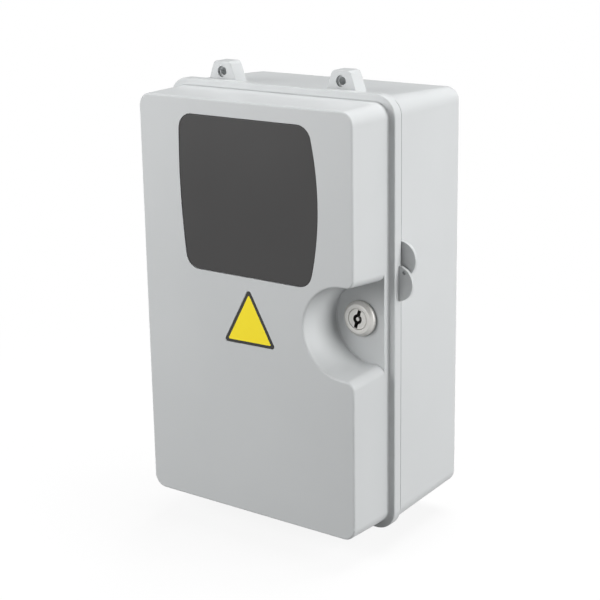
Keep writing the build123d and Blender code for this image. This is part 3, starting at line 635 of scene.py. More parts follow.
# Screws of the inside: zinc-plated, with a hexagon head, a bevelled crown and a rolled thread.
# One screw is made from its sizes and set down at each of its places.
def hexagon_screw(name, head_radius, head_height, shank_radius, length, pitch, facing=1):
    """Screw along Y, its head's underside at the origin; facing is -1 for a head to the back."""
    shape = bmesh.new()
    flat = head_radius * math.cos(math.radians(30))
    rings = []
    for radius, depth, sides in (
        (head_radius, 0.0, 6),
        (head_radius, head_height * 0.72, 6),
        (flat * 0.93, head_height, 0),
        (flat * 0.45, head_height, 0),
        (flat * 0.36, head_height * 0.72, 0),
    ):
        ring = []
        for step in range(24):
            angle = math.radians(15 * step)
            reach = radius
            if sides:
                turn_by = math.radians((15 * step + 30) % 60 - 30)
                reach = radius * math.cos(math.radians(30)) / math.cos(turn_by)
            ring.append(shape.verts.new((reach * math.cos(angle), -depth, reach * math.sin(angle))))
        rings.append(ring)
    for near, far in zip(rings, rings[1:]):
        for i in range(24):
            j = (i + 1) % 24
            shape.faces.new((near[i], near[j], far[j], far[i]))
    shape.faces.new(rings[-1])
    around = 16
    turns = max(int(length / pitch), 3)
    rows = []
    for row in range(4 * turns + 1):
        share = (row % 4) / 4
        rows.append([])
        for step in range(around):
            depth = (row / 4 + step / around) * pitch
            depth = min(depth, length)
            radius = shank_radius * (1.0 if share in (0.25, 0.5) else 0.84)
            if depth >= length - 1e-6 or row == 0:
                radius = shank_radius * 0.84
            angle = math.radians(360 * step / around)
            rows[-1].append(shape.verts.new((radius * math.cos(angle), depth, radius * math.sin(angle))))
    for near, far in zip(rows, rows[1:]):
        for i in range(around - 1):
            shape.faces.new((near[i], near[i + 1], far[i + 1], far[i]))
    for row in range(len(rows) - 5):
        shape.faces.new((rows[row][-1], rows[row + 4][0], rows[row + 5][0], rows[row + 1][-1]))
    bmesh.ops.holes_fill(shape, edges=[edge for edge in shape.edges if len(edge.link_faces) < 2])
    bmesh.ops.remove_doubles(shape, verts=shape.verts, dist=1e-7)
    for vertex in shape.verts:
        vertex.co.y *= facing
    shape.normal_update()
    bmesh.ops.recalc_face_normals(shape, faces=shape.faces)
    mesh = bpy.data.meshes.new(name)
    shape.to_mesh(mesh)
    shape.free()
    mesh.shade_smooth()
    mesh.set_sharp_from_angle(angle=math.radians(28))
    screw = bpy.data.objects.new(name, mesh)
    scene.collection.objects.link(screw)
    return screw


def screw_tree():
    """Geometry tree that sets a screw down at each point, made real, in its finish."""
    tree = bpy.data.node_groups.new("set_of_screws", "GeometryNodeTree")
    sockets = {}
    for label, kind in (
        ("Places", "NodeSocketGeometry"),
        ("Screw", "NodeSocketObject"),
        ("Size", "NodeSocketFloat"),
        ("Finish", "NodeSocketMaterial"),
    ):
        sockets[label] = tree.interface.new_socket(label, in_out="INPUT", socket_type=kind)
    tree.interface.new_socket("Screws", in_out="OUTPUT", socket_type="NodeSocketGeometry")
    start = tree.nodes.new("NodeGroupInput")
    end = tree.nodes.new("NodeGroupOutput")
    source = tree.nodes.new("GeometryNodeObjectInfo")
    points = tree.nodes.new("GeometryNodeMeshToPoints")
    copies = tree.nodes.new("GeometryNodeInstanceOnPoints")
    real = tree.nodes.new("GeometryNodeRealizeInstances")
    finish = tree.nodes.new("GeometryNodeSetMaterial")
    tree.links.new(start.outputs["Places"], points.inputs["Mesh"])
    tree.links.new(start.outputs["Screw"], source.inputs["Object"])
    tree.links.new(points.outputs["Points"], copies.inputs["Points"])
    tree.links.new(source.outputs["Geometry"], copies.inputs["Instance"])
    tree.links.new(start.outputs["Size"], copies.inputs["Scale"])
    tree.links.new(copies.outputs["Instances"], real.inputs["Geometry"])
    tree.links.new(real.outputs["Geometry"], finish.inputs["Geometry"])
    tree.links.new(start.outputs["Finish"], finish.inputs["Material"])
    tree.links.new(finish.outputs["Geometry"], end.inputs["Screws"])
    return tree, {label: socket.identifier for label, socket in sockets.items()}


screw_set, screw_inputs = screw_tree()


def set_of_screws(name, screw, places, finish, body, node):
    """Set a screw down at places in X, Y and Z, and let the set stand for a node of the frame."""
    points = bpy.data.meshes.new(name + "_places")
    points.from_pydata(places, [], [])
    carrier = bpy.data.objects.new(name + "_places", points)
    scene.collection.objects.link(carrier)
    spread = carrier.modifiers.new("screws", "NODES")
    spread.node_group = screw_set
    spread[screw_inputs["Screw"]] = screw
    spread[screw_inputs["Size"]] = 1.0
    spread[screw_inputs["Finish"]] = finish
    mesh = bpy.data.meshes.new_from_object(carrier.evaluated_get(bpy.context.evaluated_depsgraph_get()))
    mesh.name = name
    mesh.materials.clear()
    mesh.materials.append(finish)
    mesh.polygons.foreach_set("material_index", [0] * len(mesh.polygons))
    bpy.data.objects.remove(carrier)
    bpy.data.objects.remove(screw)
    piece = bpy.data.objects.new(name, mesh)
    scene.collection.objects.link(piece)
    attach(piece, body)
    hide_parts(node)


RAIL_FACE = 0.045
BRACKET_SHEET = 0.002
RAIL_SHEET = 0.001
BAR_FRONT = 0.038
# Sizes of each screw: head radius and height, shank radius, length, pitch.
PLATE_SCREW = (0.004, 0.0026, 0.0019, 0.010, 0.0007)
BRACKET_SCREW = (0.0032, 0.0020, 0.0015, 0.007, 0.0005)
RAIL_SCREW = (0.004, 0.0026, 0.0019, 0.008, 0.0007)
BAR_SCREW = (0.0032, 0.0020, 0.0016, 0.028, 0.0007)
for name, sizes, places, seat, node in (
    ("plate_screw_set", PLATE_SCREW, plate_screw_places, PLATE_FRONT, "plate_screws"),
    ("bracket_screw_set", BRACKET_SCREW, bracket_screw_places, PLATE_FRONT + BRACKET_SHEET, "bracket_screws"),
    ("rail_screw_set", RAIL_SCREW, rail_screw_places, RAIL_FACE + RAIL_SHEET, "rail_screws"),
    ("bar_screw_set", BAR_SCREW, bar_screw_places, BAR_FRONT, "bar_screws"),
):
    screw = hexagon_screw("single_screw", *sizes)
    places = [(x, -seat, z) for x, z in places]
    set_of_screws(name, screw, places, zinc_steel, "root", node)


# Rail brackets: two hat-shaped bends of 2 mm zinc-plated sheet, screwed to the plate by their feet.
# Each bend has the inner radius that a folded sheet has.
def folded_sheet(name, path, sheet, bend, low, high, steps=6):
    """Sheet folded along the path of its middle line, in X and depth, between two heights."""
    middle = []
    last = len(path) - 1
    reach = bend + sheet / 2
    for i, corner in enumerate(path):
        here = Vector(corner)
        if i in (0, last):
            along = (Vector(path[1]) - here if i == 0 else here - Vector(path[i - 1])).normalized()
            middle.append((here, Vector((-along.y, along.x))))
            continue
        coming = (here - Vector(path[i - 1])).normalized()
        going = (Vector(path[i + 1]) - here).normalized()
        turn_side = 1 if coming.x * going.y - coming.y * going.x > 0 else -1
        side = Vector((-coming.y, coming.x)) * turn_side
        centre = here - coming * reach + side * reach
        for step in range(steps + 1):
            angle = math.radians(90 * step / steps)
            spoke = coming * math.sin(angle) - side * math.cos(angle)
            middle.append((centre + spoke * reach, -spoke * turn_side))
    outline = [p + n * (sheet / 2) for p, n in middle] + [p - n * (sheet / 2) for p, n in middle[::-1]]
    shape = bmesh.new()
    rings = [[shape.verts.new((p.x, -p.y, height)) for p in outline] for height in (low, high)]
    count = len(outline)
    for i in range(count):
        j = (i + 1) % count
        shape.faces.new((rings[0][i], rings[0][j], rings[1][j], rings[1][i]))
    for ring in rings:
        for i in range(len(middle) - 1):
            shape.faces.new((ring[i], ring[i + 1], ring[count - 2 - i], ring[count - 1 - i]))
    bmesh.ops.recalc_face_normals(shape, faces=shape.faces)
    mesh = bpy.data.meshes.new(name)
    shape.to_mesh(mesh)
    shape.free()
    piece = bpy.data.objects.new(name, mesh)
    scene.collection.objects.link(piece)
    return piece


hats = []
for side in (-1, 1):
    hat = ((-0.020, 0.001), (-0.008, 0.001), (-0.008, 0.029), (0.008, 0.029), (0.008, 0.001), (0.020, 0.001))
    path = [(side * BRACKET_X + x, PLATE_FRONT + depth) for x, depth in hat]
    hats.append(folded_sheet("bracket", path, BRACKET_SHEET, 0.001, RAIL_Z - 0.010, RAIL_Z + 0.010))
brackets = gathered("bent_brackets", hats)
bored = [
    plate_solid("foot_hole", disc_outline(place_xz, 0.0016, 24), 0.0145, 0.0175, 0.0, 0.0)
    for place_xz in bracket_screw_places
]
bored += [
    plate_solid("top_hole", disc_outline(place_xz, 0.0020, 24), 0.0420, 0.0460, 0.0, 0.0)
    for place_xz in rail_screw_places
]
worked(brackets, "DIFFERENCE", gathered("bracket_holes", bored))
finished(brackets, zinc_steel, "root", "rail_brackets")


# Top-hat rail: 35 mm, rolled from 1 mm zinc-plated strip, with its row of slots.
# It lies across the brackets, and meters and relays clip onto its lips.
RAIL_HALF = 0.070
strip = (
    (-0.0175, 0.007),
    (-0.013, 0.007),
    (-0.013, 0.0005),
    (0.013, 0.0005),
    (0.013, 0.007),
    (0.0175, 0.007),
)
path = [(across, RAIL_FACE + depth) for across, depth in strip]
rail = folded_sheet("top_hat_rail", path, RAIL_SHEET, 0.0006, -RAIL_HALF, RAIL_HALF)
rail.data.transform(Matrix(((0, 0, 1, 0), (0, 1, 0, 0), (1, 0, 0, RAIL_Z), (0, 0, 0, 1))))
rail.data.flip_normals()
bored = [
    plate_solid("slot", rounded_block((x, RAIL_Z), 0.0075, 0.0031, 0.00305), 0.0440, 0.0470, 0.0, 0.0)
    for x in (-0.025, 0.0, 0.025)
]
bored += [
    plate_solid("rail_hole", disc_outline(place_xz, 0.0020, 24), 0.0440, 0.0470, 0.0, 0.0)
    for place_xz in rail_screw_places
]
worked(rail, "DIFFERENCE", gathered("rail_slots", bored))
finished(rail, zinc_steel, "root", "din_rail")


# Feet of the terminal bar: blue moulded insulator, with grooves that lengthen the way along them.
# One screw goes down through each into the plate.
material, tree, shader, output = node_material("blue_insulator")
place = tree.nodes.new("ShaderNodeTexCoord")
cloud = tree.nodes.new("ShaderNodeTexNoise")
cloud.inputs["Scale"].default_value = 120.0
tint = tree.nodes.new("ShaderNodeValToRGB")
tint.color_ramp.elements[0].color = (0.020, 0.075, 0.30, 1)
tint.color_ramp.elements[1].color = (0.030, 0.095, 0.36, 1)
tree.links.new(place.outputs["Object"], cloud.inputs["Vector"])
tree.links.new(cloud.outputs["Fac"], tint.inputs["Fac"])
tree.links.new(tint.outputs["Color"], shader.inputs["Base Color"])
shader.inputs["Roughness"].default_value = 0.45
BAR_BACK = 0.031
foot_levels = [(0.0004, 0.0150), (0.0, 0.0154)]
for low in (0.0195, 0.0250):
    foot_levels += [(0.0, low), (0.0010, low + 0.0004), (0.0010, low + 0.0016), (0.0, low + 0.0020)]
foot_levels += [(0.0, BAR_BACK - 0.0004), (0.0004, BAR_BACK)]
feet, bored = [], []
for centre in bar_screw_places:
    rings = []
    for inset, depth in foot_levels:
        ring = rounded_block(centre, 0.007 - inset, 0.0065 - inset, 0.0015 - inset)
        rings.append([Vector((x, -depth, z)) for x, z in ring])
    feet.append(made_solid("foot", rings))
    bored.append(plate_solid("foot_bore", disc_outline(centre, 0.0018, 24), 0.0140, 0.0320, 0.0, 0.0))
feet = gathered("insulating_feet", feet)
worked(feet, "DIFFERENCE", gathered("foot_bores", bored))
finished(feet, material, "root", "bar_feet")


# Terminal bar: drawn brass, drilled through for six wires, each clamped by a slotted screw.
# It takes the earth wires of what the enclosure holds.
material, tree, shader, output = node_material("drawn_brass")
place = tree.nodes.new("ShaderNodeTexCoord")
stretch = tree.nodes.new("ShaderNodeMapping")
stretch.inputs["Scale"].default_value = (40.0, 900.0, 900.0)
streaks = tree.nodes.new("ShaderNodeTexNoise")
streaks.inputs["Scale"].default_value = 1.0
tint = tree.nodes.new("ShaderNodeValToRGB")
tint.color_ramp.elements[0].color = (0.62, 0.44, 0.17, 1)
tint.color_ramp.elements[1].color = (0.78, 0.60, 0.28, 1)
tree.links.new(place.outputs["Object"], stretch.inputs["Vector"])
tree.links.new(stretch.outputs["Vector"], streaks.inputs["Vector"])
tree.links.new(streaks.outputs["Fac"], tint.inputs["Fac"])
tree.links.new(tint.outputs["Color"], shader.inputs["Base Color"])
shader.inputs["Metallic"].default_value = 1.0
shader.inputs["Roughness"].default_value = 0.3
TERMINALS = [0.012 * (i - 2.5) for i in range(6)]
BAR_HALF_LENGTH = 0.055
BAR_HALF_HEIGHT = 0.0045
BAR_EDGE = 0.0003
bar_outline = rounded_block((0, BAR_Z), BAR_HALF_LENGTH, BAR_HALF_HEIGHT, 0.0005)
bar = plate_solid("brass_bar", bar_outline, BAR_BACK, BAR_FRONT, BAR_EDGE, BAR_EDGE)
bored = [
    plate_solid("bar_bore", disc_outline(centre, 0.0018, 24), 0.0300, 0.0390, 0.0, 0.0)
    for centre in bar_screw_places
]
for x in TERMINALS:
    bored.append(plate_solid("screw_seat", disc_outline((x, BAR_Z), 0.0021, 24), 0.0372, 0.0390, 0.0, 0.0))
worked(bar, "DIFFERENCE", gathered("bar_bores", bored))
bored = []
for x in TERMINALS:
    ring = disc_outline((x, 0.0345), 0.0023, 28)
    ends = [[Vector((u, -v, level)) for u, v in ring] for level in (-0.101, -0.089)]
    bored.append(made_solid("wire_hole", ends))
worked(bar, "DIFFERENCE", gathered("wire_holes", bored))
finished(bar, material, "root", "terminal_bar")

cheese_head = plate_solid("cheese_head", disc_outline((0, 0), 0.0020, 32), 0.0, 0.0030, 0.0, 0.0002)
groove = plate_solid("groove", rounded_block((0, 0), 0.0030, 0.0003, 0.0001), 0.0018, 0.0040, 0.0, 0.0)
groove.data.transform(Matrix.Rotation(math.radians(25), 4, "Y"))
worked(cheese_head, "DIFFERENCE", groove)
cheese_head.data.shade_smooth()
cheese_head.data.set_sharp_from_angle(angle=math.radians(28))
places = [(x, -0.0372, BAR_Z) for x in TERMINALS]
set_of_screws("terminal_screw_set", cheese_head, places, zinc_steel, "root", "terminal_screws")


# Hinge pins: plain steel pins with bevelled ends, driven through the knuckles of box and door.
# They have no heads, and stay put by their tight fit in the box's knuckles.
for name, level in (("hinge_pin_top", 0.095), ("hinge_pin_bottom", -0.095)):
    pin = upright_rod(name + "_steel", 0.0015, level - 0.01415, level + 0.01415, 32, 0.0003)
    finished(pin, zinc_steel, "root", name)


# Door: a deep hood in the same grey plastic, hinged on the left, with a flange all round.
# A scoop in its right edge sinks the lock, and the viewing window is cut through its upper half.
# Bosses behind it take the pane's screws, and a channel in the flange holds the gasket.
DOOR_BACK = 0.0827
DOOR_WALL = 0.003
FLANGE_FRONT = 0.0901
DOOR_FRONT = 0.1297
BULGE_INSET = 0.005
BULGE_SLOPE = math.tan(math.radians(1.1))
FLANGE_EDGE = 0.001
BULGE_FOOT = 0.0014
outside = [(0.0003, DOOR_BACK), (0.0, DOOR_BACK + 0.0003)]
for step in range(EDGE_STEPS + 1):
    angle = math.radians(90 * step / EDGE_STEPS)
    outside.append(
        (FLANGE_EDGE * (1 - math.cos(angle)), FLANGE_FRONT - FLANGE_EDGE * (1 - math.sin(angle)))
    )
for step in range(EDGE_STEPS + 1):
    angle = math.radians(90 * step / EDGE_STEPS)
    outside.append(
        (
            BULGE_INSET - BULGE_FOOT * (1 - math.sin(angle)),
            FLANGE_FRONT + BULGE_FOOT * (1 - math.cos(angle)),
        )
    )
SCOOP = (0.0797, -0.0008)
SCOOP_RADIUS = 0.0313
SCOOP_FLOOR = 0.09485
SCOOP_SLOPE = math.tan(math.radians(4.0))
floor_level = (BULGE_INSET + (SCOOP_FLOOR - FLANGE_FRONT) * BULGE_SLOPE, SCOOP_FLOOR)
front_level = (BULGE_INSET + (DOOR_FRONT - FLANGE_FRONT) * BULGE_SLOPE, DOOR_FRONT)
outside.append(floor_level)
flange = made_solid("door_flange", [enclosure_ring(*level) for level in outside])
door = made_solid("door_hood", [enclosure_ring(*level) for level in (floor_level, front_level)])

MOUTH_RADIUS = 0.006
RIM_RADIUS = 0.0014
FLOOR_RADIUS = 0.0003


def scoop_ring(radius, depth, far_x):
    """Points round the scoop at a depth: half a circle, run out straight to the right."""
    ring = disc_outline(SCOOP, radius, 72, 90.0, 270.0)
    ring += [(far_x, SCOOP[1] - radius), (far_x, SCOOP[1] + radius)]
    return [Vector((x, -depth, z)) for x, z in ring]


deep = SCOOP_RADIUS - (DOOR_FRONT - SCOOP_FLOOR) * SCOOP_SLOPE
wide = SCOOP_RADIUS + 0.002 * SCOOP_SLOPE
rings = [
    scoop_ring(deep - 0.002 * SCOOP_SLOPE, SCOOP_FLOOR - 0.002, 0.1),
    scoop_ring(wide, DOOR_FRONT + 0.002, 0.1),
]
worked(door, "DIFFERENCE", made_solid("scoop_cutter", rings))


def mouth_edge(edge):
    """The two edges where the walls of the scoop meet the right side of the door."""
    middle = (edge.verts[0].co + edge.verts[1].co) / 2
    along = (edge.verts[1].co - edge.verts[0].co).normalized()
    near = abs(abs(middle.z - SCOOP[1]) - SCOOP_RADIUS) < 0.003
    return near and middle.x > 0.088 and abs(along.y) > 0.95 and edge.calc_face_angle() > 1.0


def front_edge(edge):
    """The rim of the front face, with the scoop's part of it."""
    level = all(abs(vertex.co.y + DOOR_FRONT) < 1e-6 for vertex in edge.verts)
    return level and edge.calc_face_angle() > 0.5


def floor_edge(edge):
    """The corner between the floor of the scoop and its walls, short of the mouth."""
    level = all(abs(vertex.co.y + SCOOP_FLOOR) < 1e-6 and vertex.co.x < 0.0868 for vertex in edge.verts)
    return level and edge.calc_face_angle() > 0.5


rounded_edges(door, mouth_edge, MOUTH_RADIUS, 12)
worked(door, "UNION", flange)
LEDGE_WIDTH = 0.0006
LEDGE_HEIGHT = 0.0004
LEDGE_END = 0.0830
ledge = [(LEDGE_END, SCOOP[1] + deep + 0.001)] + disc_outline(SCOOP, deep + 0.001, 72, 90.0, 270.0)
ledge += [(LEDGE_END, SCOOP[1] - deep - 0.001), (LEDGE_END, SCOOP[1] - deep + LEDGE_WIDTH)]
ledge += disc_outline(SCOOP, deep - LEDGE_WIDTH, 72, 90.0, 270.0)[::-1]
ledge.append((LEDGE_END, SCOOP[1] + deep - LEDGE_WIDTH))
ledge = plate_solid("scoop_ledge", ledge, SCOOP_FLOOR - 0.001, SCOOP_FLOOR + LEDGE_HEIGHT, 0.0, 0.0002)
worked(door, "UNION", ledge)
rounded_edges(door, front_edge, RIM_RADIUS, 6)
rounded_edges(door, floor_edge, FLOOR_RADIUS, 5)

inside = [(BULGE_INSET + DOOR_WALL, DOOR_BACK - 0.001), (BULGE_INSET + DOOR_WALL, FLANGE_FRONT)]
for step in range(EDGE_STEPS + 1):
    angle = math.radians(90 * step / EDGE_STEPS)
    depth = DOOR_FRONT - DOOR_WALL - 0.0015 * (1 - math.sin(angle))
    inset = BULGE_INSET + DOOR_WALL + (depth - FLANGE_FRONT) * BULGE_SLOPE + 0.0015 * (1 - math.cos(angle))
    inside.append((inset, depth))
hollow = made_solid("door_hollow", [enclosure_ring(*level) for level in inside])
rings = [
    scoop_ring(deep + DOOR_WALL, SCOOP_FLOOR - DOOR_WALL, 0.1),
    scoop_ring(wide + DOOR_WALL, DOOR_FRONT + 0.002, 0.1),
]
worked(hollow, "DIFFERENCE", made_solid("scoop_wall", rings))
worked(door, "DIFFERENCE", hollow)

CHANNEL = ((0.002, DOOR_BACK - 0.001), (0.002, 0.0881), (0.0066, 0.0881), (0.0066, DOOR_BACK - 0.001))
worked(door, "DIFFERENCE", made_solid("seal_channel", [enclosure_ring(*p) for p in CHANNEL], closed=True))

WINDOW_TOP = 0.1331
WINDOW_BOTTOM = 0.0262
WINDOW_LEFT = (-0.0529, -0.0537, -0.0492)
WINDOW_RIGHT = (0.0540, 0.0612, 0.0536)
WINDOW_CORNER = 0.011


def bowed_side(places):
    """Centre and radius of the arc through the top, middle and bottom of a side of the window."""
    middle_z = (WINDOW_TOP + WINDOW_BOTTOM) / 2
    (ax, az), (bx, bz), (cx, cz) = zip(places, (WINDOW_TOP, middle_z, WINDOW_BOTTOM))
    scale = 2 * (ax * (bz - cz) + bx * (cz - az) + cx * (az - bz))
    a, b, c = ax**2 + az**2, bx**2 + bz**2, cx**2 + cz**2
    x = (a * (bz - cz) + b * (cz - az) + c * (az - bz)) / scale
    z = (a * (cx - bx) + b * (ax - cx) + c * (bx - ax)) / scale
    return x, z, math.hypot(ax - x, az - z)


def window_outline(inset):
    """Outline of the window, inset all round: straight above and below, bowed at the sides."""
    outline = []
    for places, side in ((WINDOW_RIGHT, 1), (WINDOW_LEFT, -1)):
        x, z, radius = bowed_side(places)
        corners = []
        for level_z, up in ((WINDOW_TOP, 1), (WINDOW_BOTTOM, -1)):
            middle_z = level_z - up * WINDOW_CORNER
            middle_x = x + side * math.sqrt((radius - WINDOW_CORNER) ** 2 - (middle_z - z) ** 2)
            lean = math.degrees(math.atan2(middle_z - z, middle_x - x))
            corners.append((middle_x, middle_z, lean))
        (top_x, top_z, top_lean), (low_x, low_z, low_lean) = corners
        round_off = WINDOW_CORNER - inset
        if side > 0:
            outline += disc_outline((low_x, low_z), round_off, 12, -90.0, low_lean)
            outline += disc_outline((x, z), radius - inset, 24, low_lean, top_lean)[1:-1]
            outline += disc_outline((top_x, top_z), round_off, 12, top_lean, 90.0)
        else:
            top_lean %= 360.0
            low_lean %= 360.0
            outline += disc_outline((top_x, top_z), round_off, 12, 90.0, top_lean)
            outline += disc_outline((x, z), radius - inset, 24, top_lean, low_lean)[1:-1]
            outline += disc_outline((low_x, low_z), round_off, 12, low_lean, 270.0)
    return outline


PLATE_CORNERS = ((0.0033, 0.0187), (-0.0189, -0.0213), (0.0250, -0.0204))
PLATE_CORNER_RADIUS = 0.0018
PLATE_BORDER = 0.0021
PLATE_DEPTH = 0.0004


def rounded_corners(corners, radius, steps):
    """Outline of a polygon whose corners are rounded to a radius."""
    outline = []
    count = len(corners)
    for i in range(count):
        here = Vector(corners[i])
        before = (Vector(corners[i - 1]) - here).normalized()
        after = (Vector(corners[(i + 1) % count]) - here).normalized()
        half_angle = before.angle(after) / 2
        middle = here + (before + after).normalized() * (radius / math.sin(half_angle))
        first = here + before * (radius / math.tan(half_angle)) - middle
        last = here + after * (radius / math.tan(half_angle)) - middle
        sweep = first.angle_signed(last)
        for step in range(steps + 1):
            turned = first.copy()
            turned.rotate(Matrix.Rotation(-sweep * step / steps, 2))
            outline.append(middle + turned)
    return outline


def shrunk(corners, inset):
    """Corners of a triangle moved inwards by an inset from each side."""
    moved = []
    count = len(corners)
    for i in range(count):
        here = Vector(corners[i])
        before = (Vector(corners[i - 1]) - here).normalized()
        after = (Vector(corners[(i + 1) % count]) - here).normalized()
        half_angle = before.angle(after) / 2
        moved.append(here + (before + after).normalized() * (inset / math.sin(half_angle)))
    return moved


grown = [tuple(p) for p in rounded_corners(shrunk(PLATE_CORNERS, -0.00015), PLATE_CORNER_RADIUS, 12)]
if sum(a[0] * b[1] - b[0] * a[1] for a, b in zip(grown, grown[1:] + grown[:1])) < 0:
    grown.reverse()
worked(door, "DIFFERENCE", plate_solid("plate_recess", grown, DOOR_FRONT - PLATE_DEPTH, 0.131, 0.0, 0.0))
worked(door, "DIFFERENCE", plate_solid("window_cut", window_outline(0.0), 0.125, 0.131, 0.0, 0.0))
rounded_edges(door, front_edge, 0.0003, 2)

WINDOW_SCREWS = ((-0.05775, 0.04220), (0.06227, 0.04220), (-0.05986, 0.11710), (0.06252, 0.11710))
PANE_BACK = 0.1222
LOCK_AXIS = (0.0710, 0.0011)
DOOR_EAR = (0.0927, 0.0258)
DOOR_EAR_DEPTHS = (DOOR_BACK + 0.00002, 0.08545)
DOOR_ROOT = 0.0933
PANE_BOSS_RADIUS = 0.0026
PANE_BOSS_END = 0.1282
PANE_HOLE_RADIUS = 0.0012
PANE_HOLE_END = 0.1275
LOCK_HOLE_RADIUS = 0.00905
DOOR_PIN_HOLE = 0.00158
welded = []
for place_xz in WINDOW_SCREWS:
    disc = disc_outline(place_xz, PANE_BOSS_RADIUS, 32)
    welded.append(plate_solid("pane_boss", disc, PANE_BACK + 0.0003, PANE_BOSS_END, 0.0, 0.0))
reach = math.degrees(math.acos((DOOR_ROOT - DOOR_EAR[0]) / EAR_RADIUS))
ear_outline = disc_outline(DOOR_EAR, EAR_RADIUS, 48, -reach, reach)
welded.append(plate_solid("door_ear", ear_outline, *DOOR_EAR_DEPTHS, MOULDED_EDGE, MOULDED_EDGE))
for level in HINGE_LEVELS:
    low = level + KNUCKLE_GAP
    welded.append(knuckle("door_knuckle", -1, -DOOR_ROOT, low, low + KNUCKLE_LENGTH))
worked(door, "UNION", gathered("door_growths", welded))

bored = []
for place_xz in WINDOW_SCREWS:
    disc = disc_outline(place_xz, PANE_HOLE_RADIUS, 20)
    bored.append(plate_solid("pane_hole", disc, PANE_BACK - PAST, PANE_HOLE_END, 0.0, 0.0))
disc = disc_outline(LOCK_AXIS, LOCK_HOLE_RADIUS, 72)
bored.append(plate_solid("lock_hole", disc, 0.0900, 0.0960, 0.0, 0.0))
disc = disc_outline(SEAL_HOLE, SEAL_HOLE_RADIUS, 24)
bored.append(plate_solid("seal_hole", disc, 0.0820, 0.0870, 0.0, 0.0))
for level in HINGE_LEVELS:
    bored.append(upright_rod("pin_hole", DOOR_PIN_HOLE, level - 0.002, level + 0.016))
worked(door, "DIFFERENCE", gathered("door_holes", bored))
finished(door, grey_plastic, "door", "door_shell")


# Foam frame of the window and foam gasket of the door: black closed-cell foam, glued in.
# The frame lies between the pane and the door, and the gasket in the channel of the flange.
material, tree, shader, output = node_material("foam_black")
place = tree.nodes.new("ShaderNodeTexCoord")
pores = tree.nodes.new("ShaderNodeTexVoronoi")
pores.inputs["Scale"].default_value = 2200.0
tint = tree.nodes.new("ShaderNodeValToRGB")
tint.color_ramp.elements[0].color = (0.012, 0.012, 0.012, 1)
tint.color_ramp.elements[1].color = (0.040, 0.040, 0.042, 1)
bump = tree.nodes.new("ShaderNodeBump")
bump.inputs["Strength"].default_value = 0.4
bump.inputs["Distance"].default_value = 0.0003
tree.links.new(place.outputs["Object"], pores.inputs["Vector"])
tree.links.new(pores.outputs["Distance"], tint.inputs["Fac"])
tree.links.new(tint.outputs["Color"], shader.inputs["Base Color"])
tree.links.new(pores.outputs["Distance"], bump.inputs["Height"])
tree.links.new(bump.outputs["Normal"], shader.inputs["Normal"])
shader.inputs["Roughness"].default_value = 0.85
black_foam = material

PANE_SHEET = 0.003
PANE_FLANGE = -0.0035
FOAM_BACK = 0.12525
FOAM_FRONT = 0.12665
FOAM_INNER = -0.0001
rings = []
for inset, depth in (
    (PANE_FLANGE, FOAM_BACK),
    (PANE_FLANGE, FOAM_FRONT),
    (FOAM_INNER, FOAM_FRONT),
    (FOAM_INNER, FOAM_BACK),
):
    rings.append([Vector((x, -depth, z)) for x, z in window_outline(inset)])
finished(made_solid("window_foam", rings, closed=True), black_foam, "door", "window_seal")

GASKET = (0.0022, 0.0064, 0.0861, 0.08808)
GASKET_EDGE = 0.0007
rings = []
for side, level, first in ((0, 0, 180.0), (1, 0, 270.0), (1, 1, 0.0), (0, 1, 90.0)):
    inset = GASKET[side] + (GASKET_EDGE if side == 0 else -GASKET_EDGE)
    depth = GASKET[2 + level] + (GASKET_EDGE if level == 0 else -GASKET_EDGE)
    for step in range(4):
        angle = math.radians(first + 30 * step)
        across, along = GASKET_EDGE * math.cos(angle), GASKET_EDGE * math.sin(angle)
        rings.append(enclosure_ring(inset + across, depth + along))
finished(made_solid("foam_gasket", rings, closed=True), black_foam, "door", "door_gasket")


# Pane of the window: tinted sheet, pressed to a dish whose middle fills the opening.
# Its flange is clamped against the foam frame by four screws behind the door.
material, tree, shader, output = node_material("smoke_grey_pane")
place = tree.nodes.new("ShaderNodeTexCoord")
cloud = tree.nodes.new("ShaderNodeTexNoise")
cloud.inputs["Scale"].default_value = 14.0
tint = tree.nodes.new("ShaderNodeValToRGB")
tint.color_ramp.elements[0].color = (0.046, 0.045, 0.045, 1)
tint.color_ramp.elements[1].color = (0.054, 0.053, 0.053, 1)
gloss = tree.nodes.new("ShaderNodeMapRange")
gloss.inputs["To Min"].default_value = 0.26
gloss.inputs["To Max"].default_value = 0.34
tree.links.new(place.outputs["Object"], cloud.inputs["Vector"])
tree.links.new(cloud.outputs["Fac"], tint.inputs["Fac"])
tree.links.new(tint.outputs["Color"], shader.inputs["Base Color"])
tree.links.new(cloud.outputs["Fac"], gloss.inputs["Value"])
tree.links.new(gloss.outputs["Result"], shader.inputs["Roughness"])
shader.inputs["Specular IOR Level"].default_value = 0.3
PANE_FRONT = 0.1294
levels = [(0.00315, PANE_BACK), (0.00325, PANE_BACK + 0.0001), (0.00325, PANE_FRONT - PANE_SHEET - 0.0008)]
for inset_by, sunk in ((0.0001, 0.0004), (0.0004, 0.0001), (0.0008, 0.0)):
    levels.append((0.00325 + inset_by, PANE_FRONT - PANE_SHEET - sunk))
outer = [(PANE_FLANGE + 0.0002, PANE_BACK), (PANE_FLANGE, PANE_BACK + 0.0002)]
outer += [(PANE_FLANGE, PANE_BACK + PANE_SHEET - 0.0002), (PANE_FLANGE + 0.0002, PANE_BACK + PANE_SHEET)]
outer += [(0.00025, PANE_BACK + PANE_SHEET), (0.00025, PANE_FRONT - 0.0005)]
outer += [(0.00032, PANE_FRONT - 0.0003), (0.00045, PANE_FRONT - 0.00012), (0.00070, PANE_FRONT)]
rings = []
for inset, depth in levels[::-1] + outer:
    rings.append([Vector((x, -depth, z)) for x, z in window_outline(inset)])
pane = made_solid("dished_pane", rings)
finished(pane, material, "door", "window_pane")

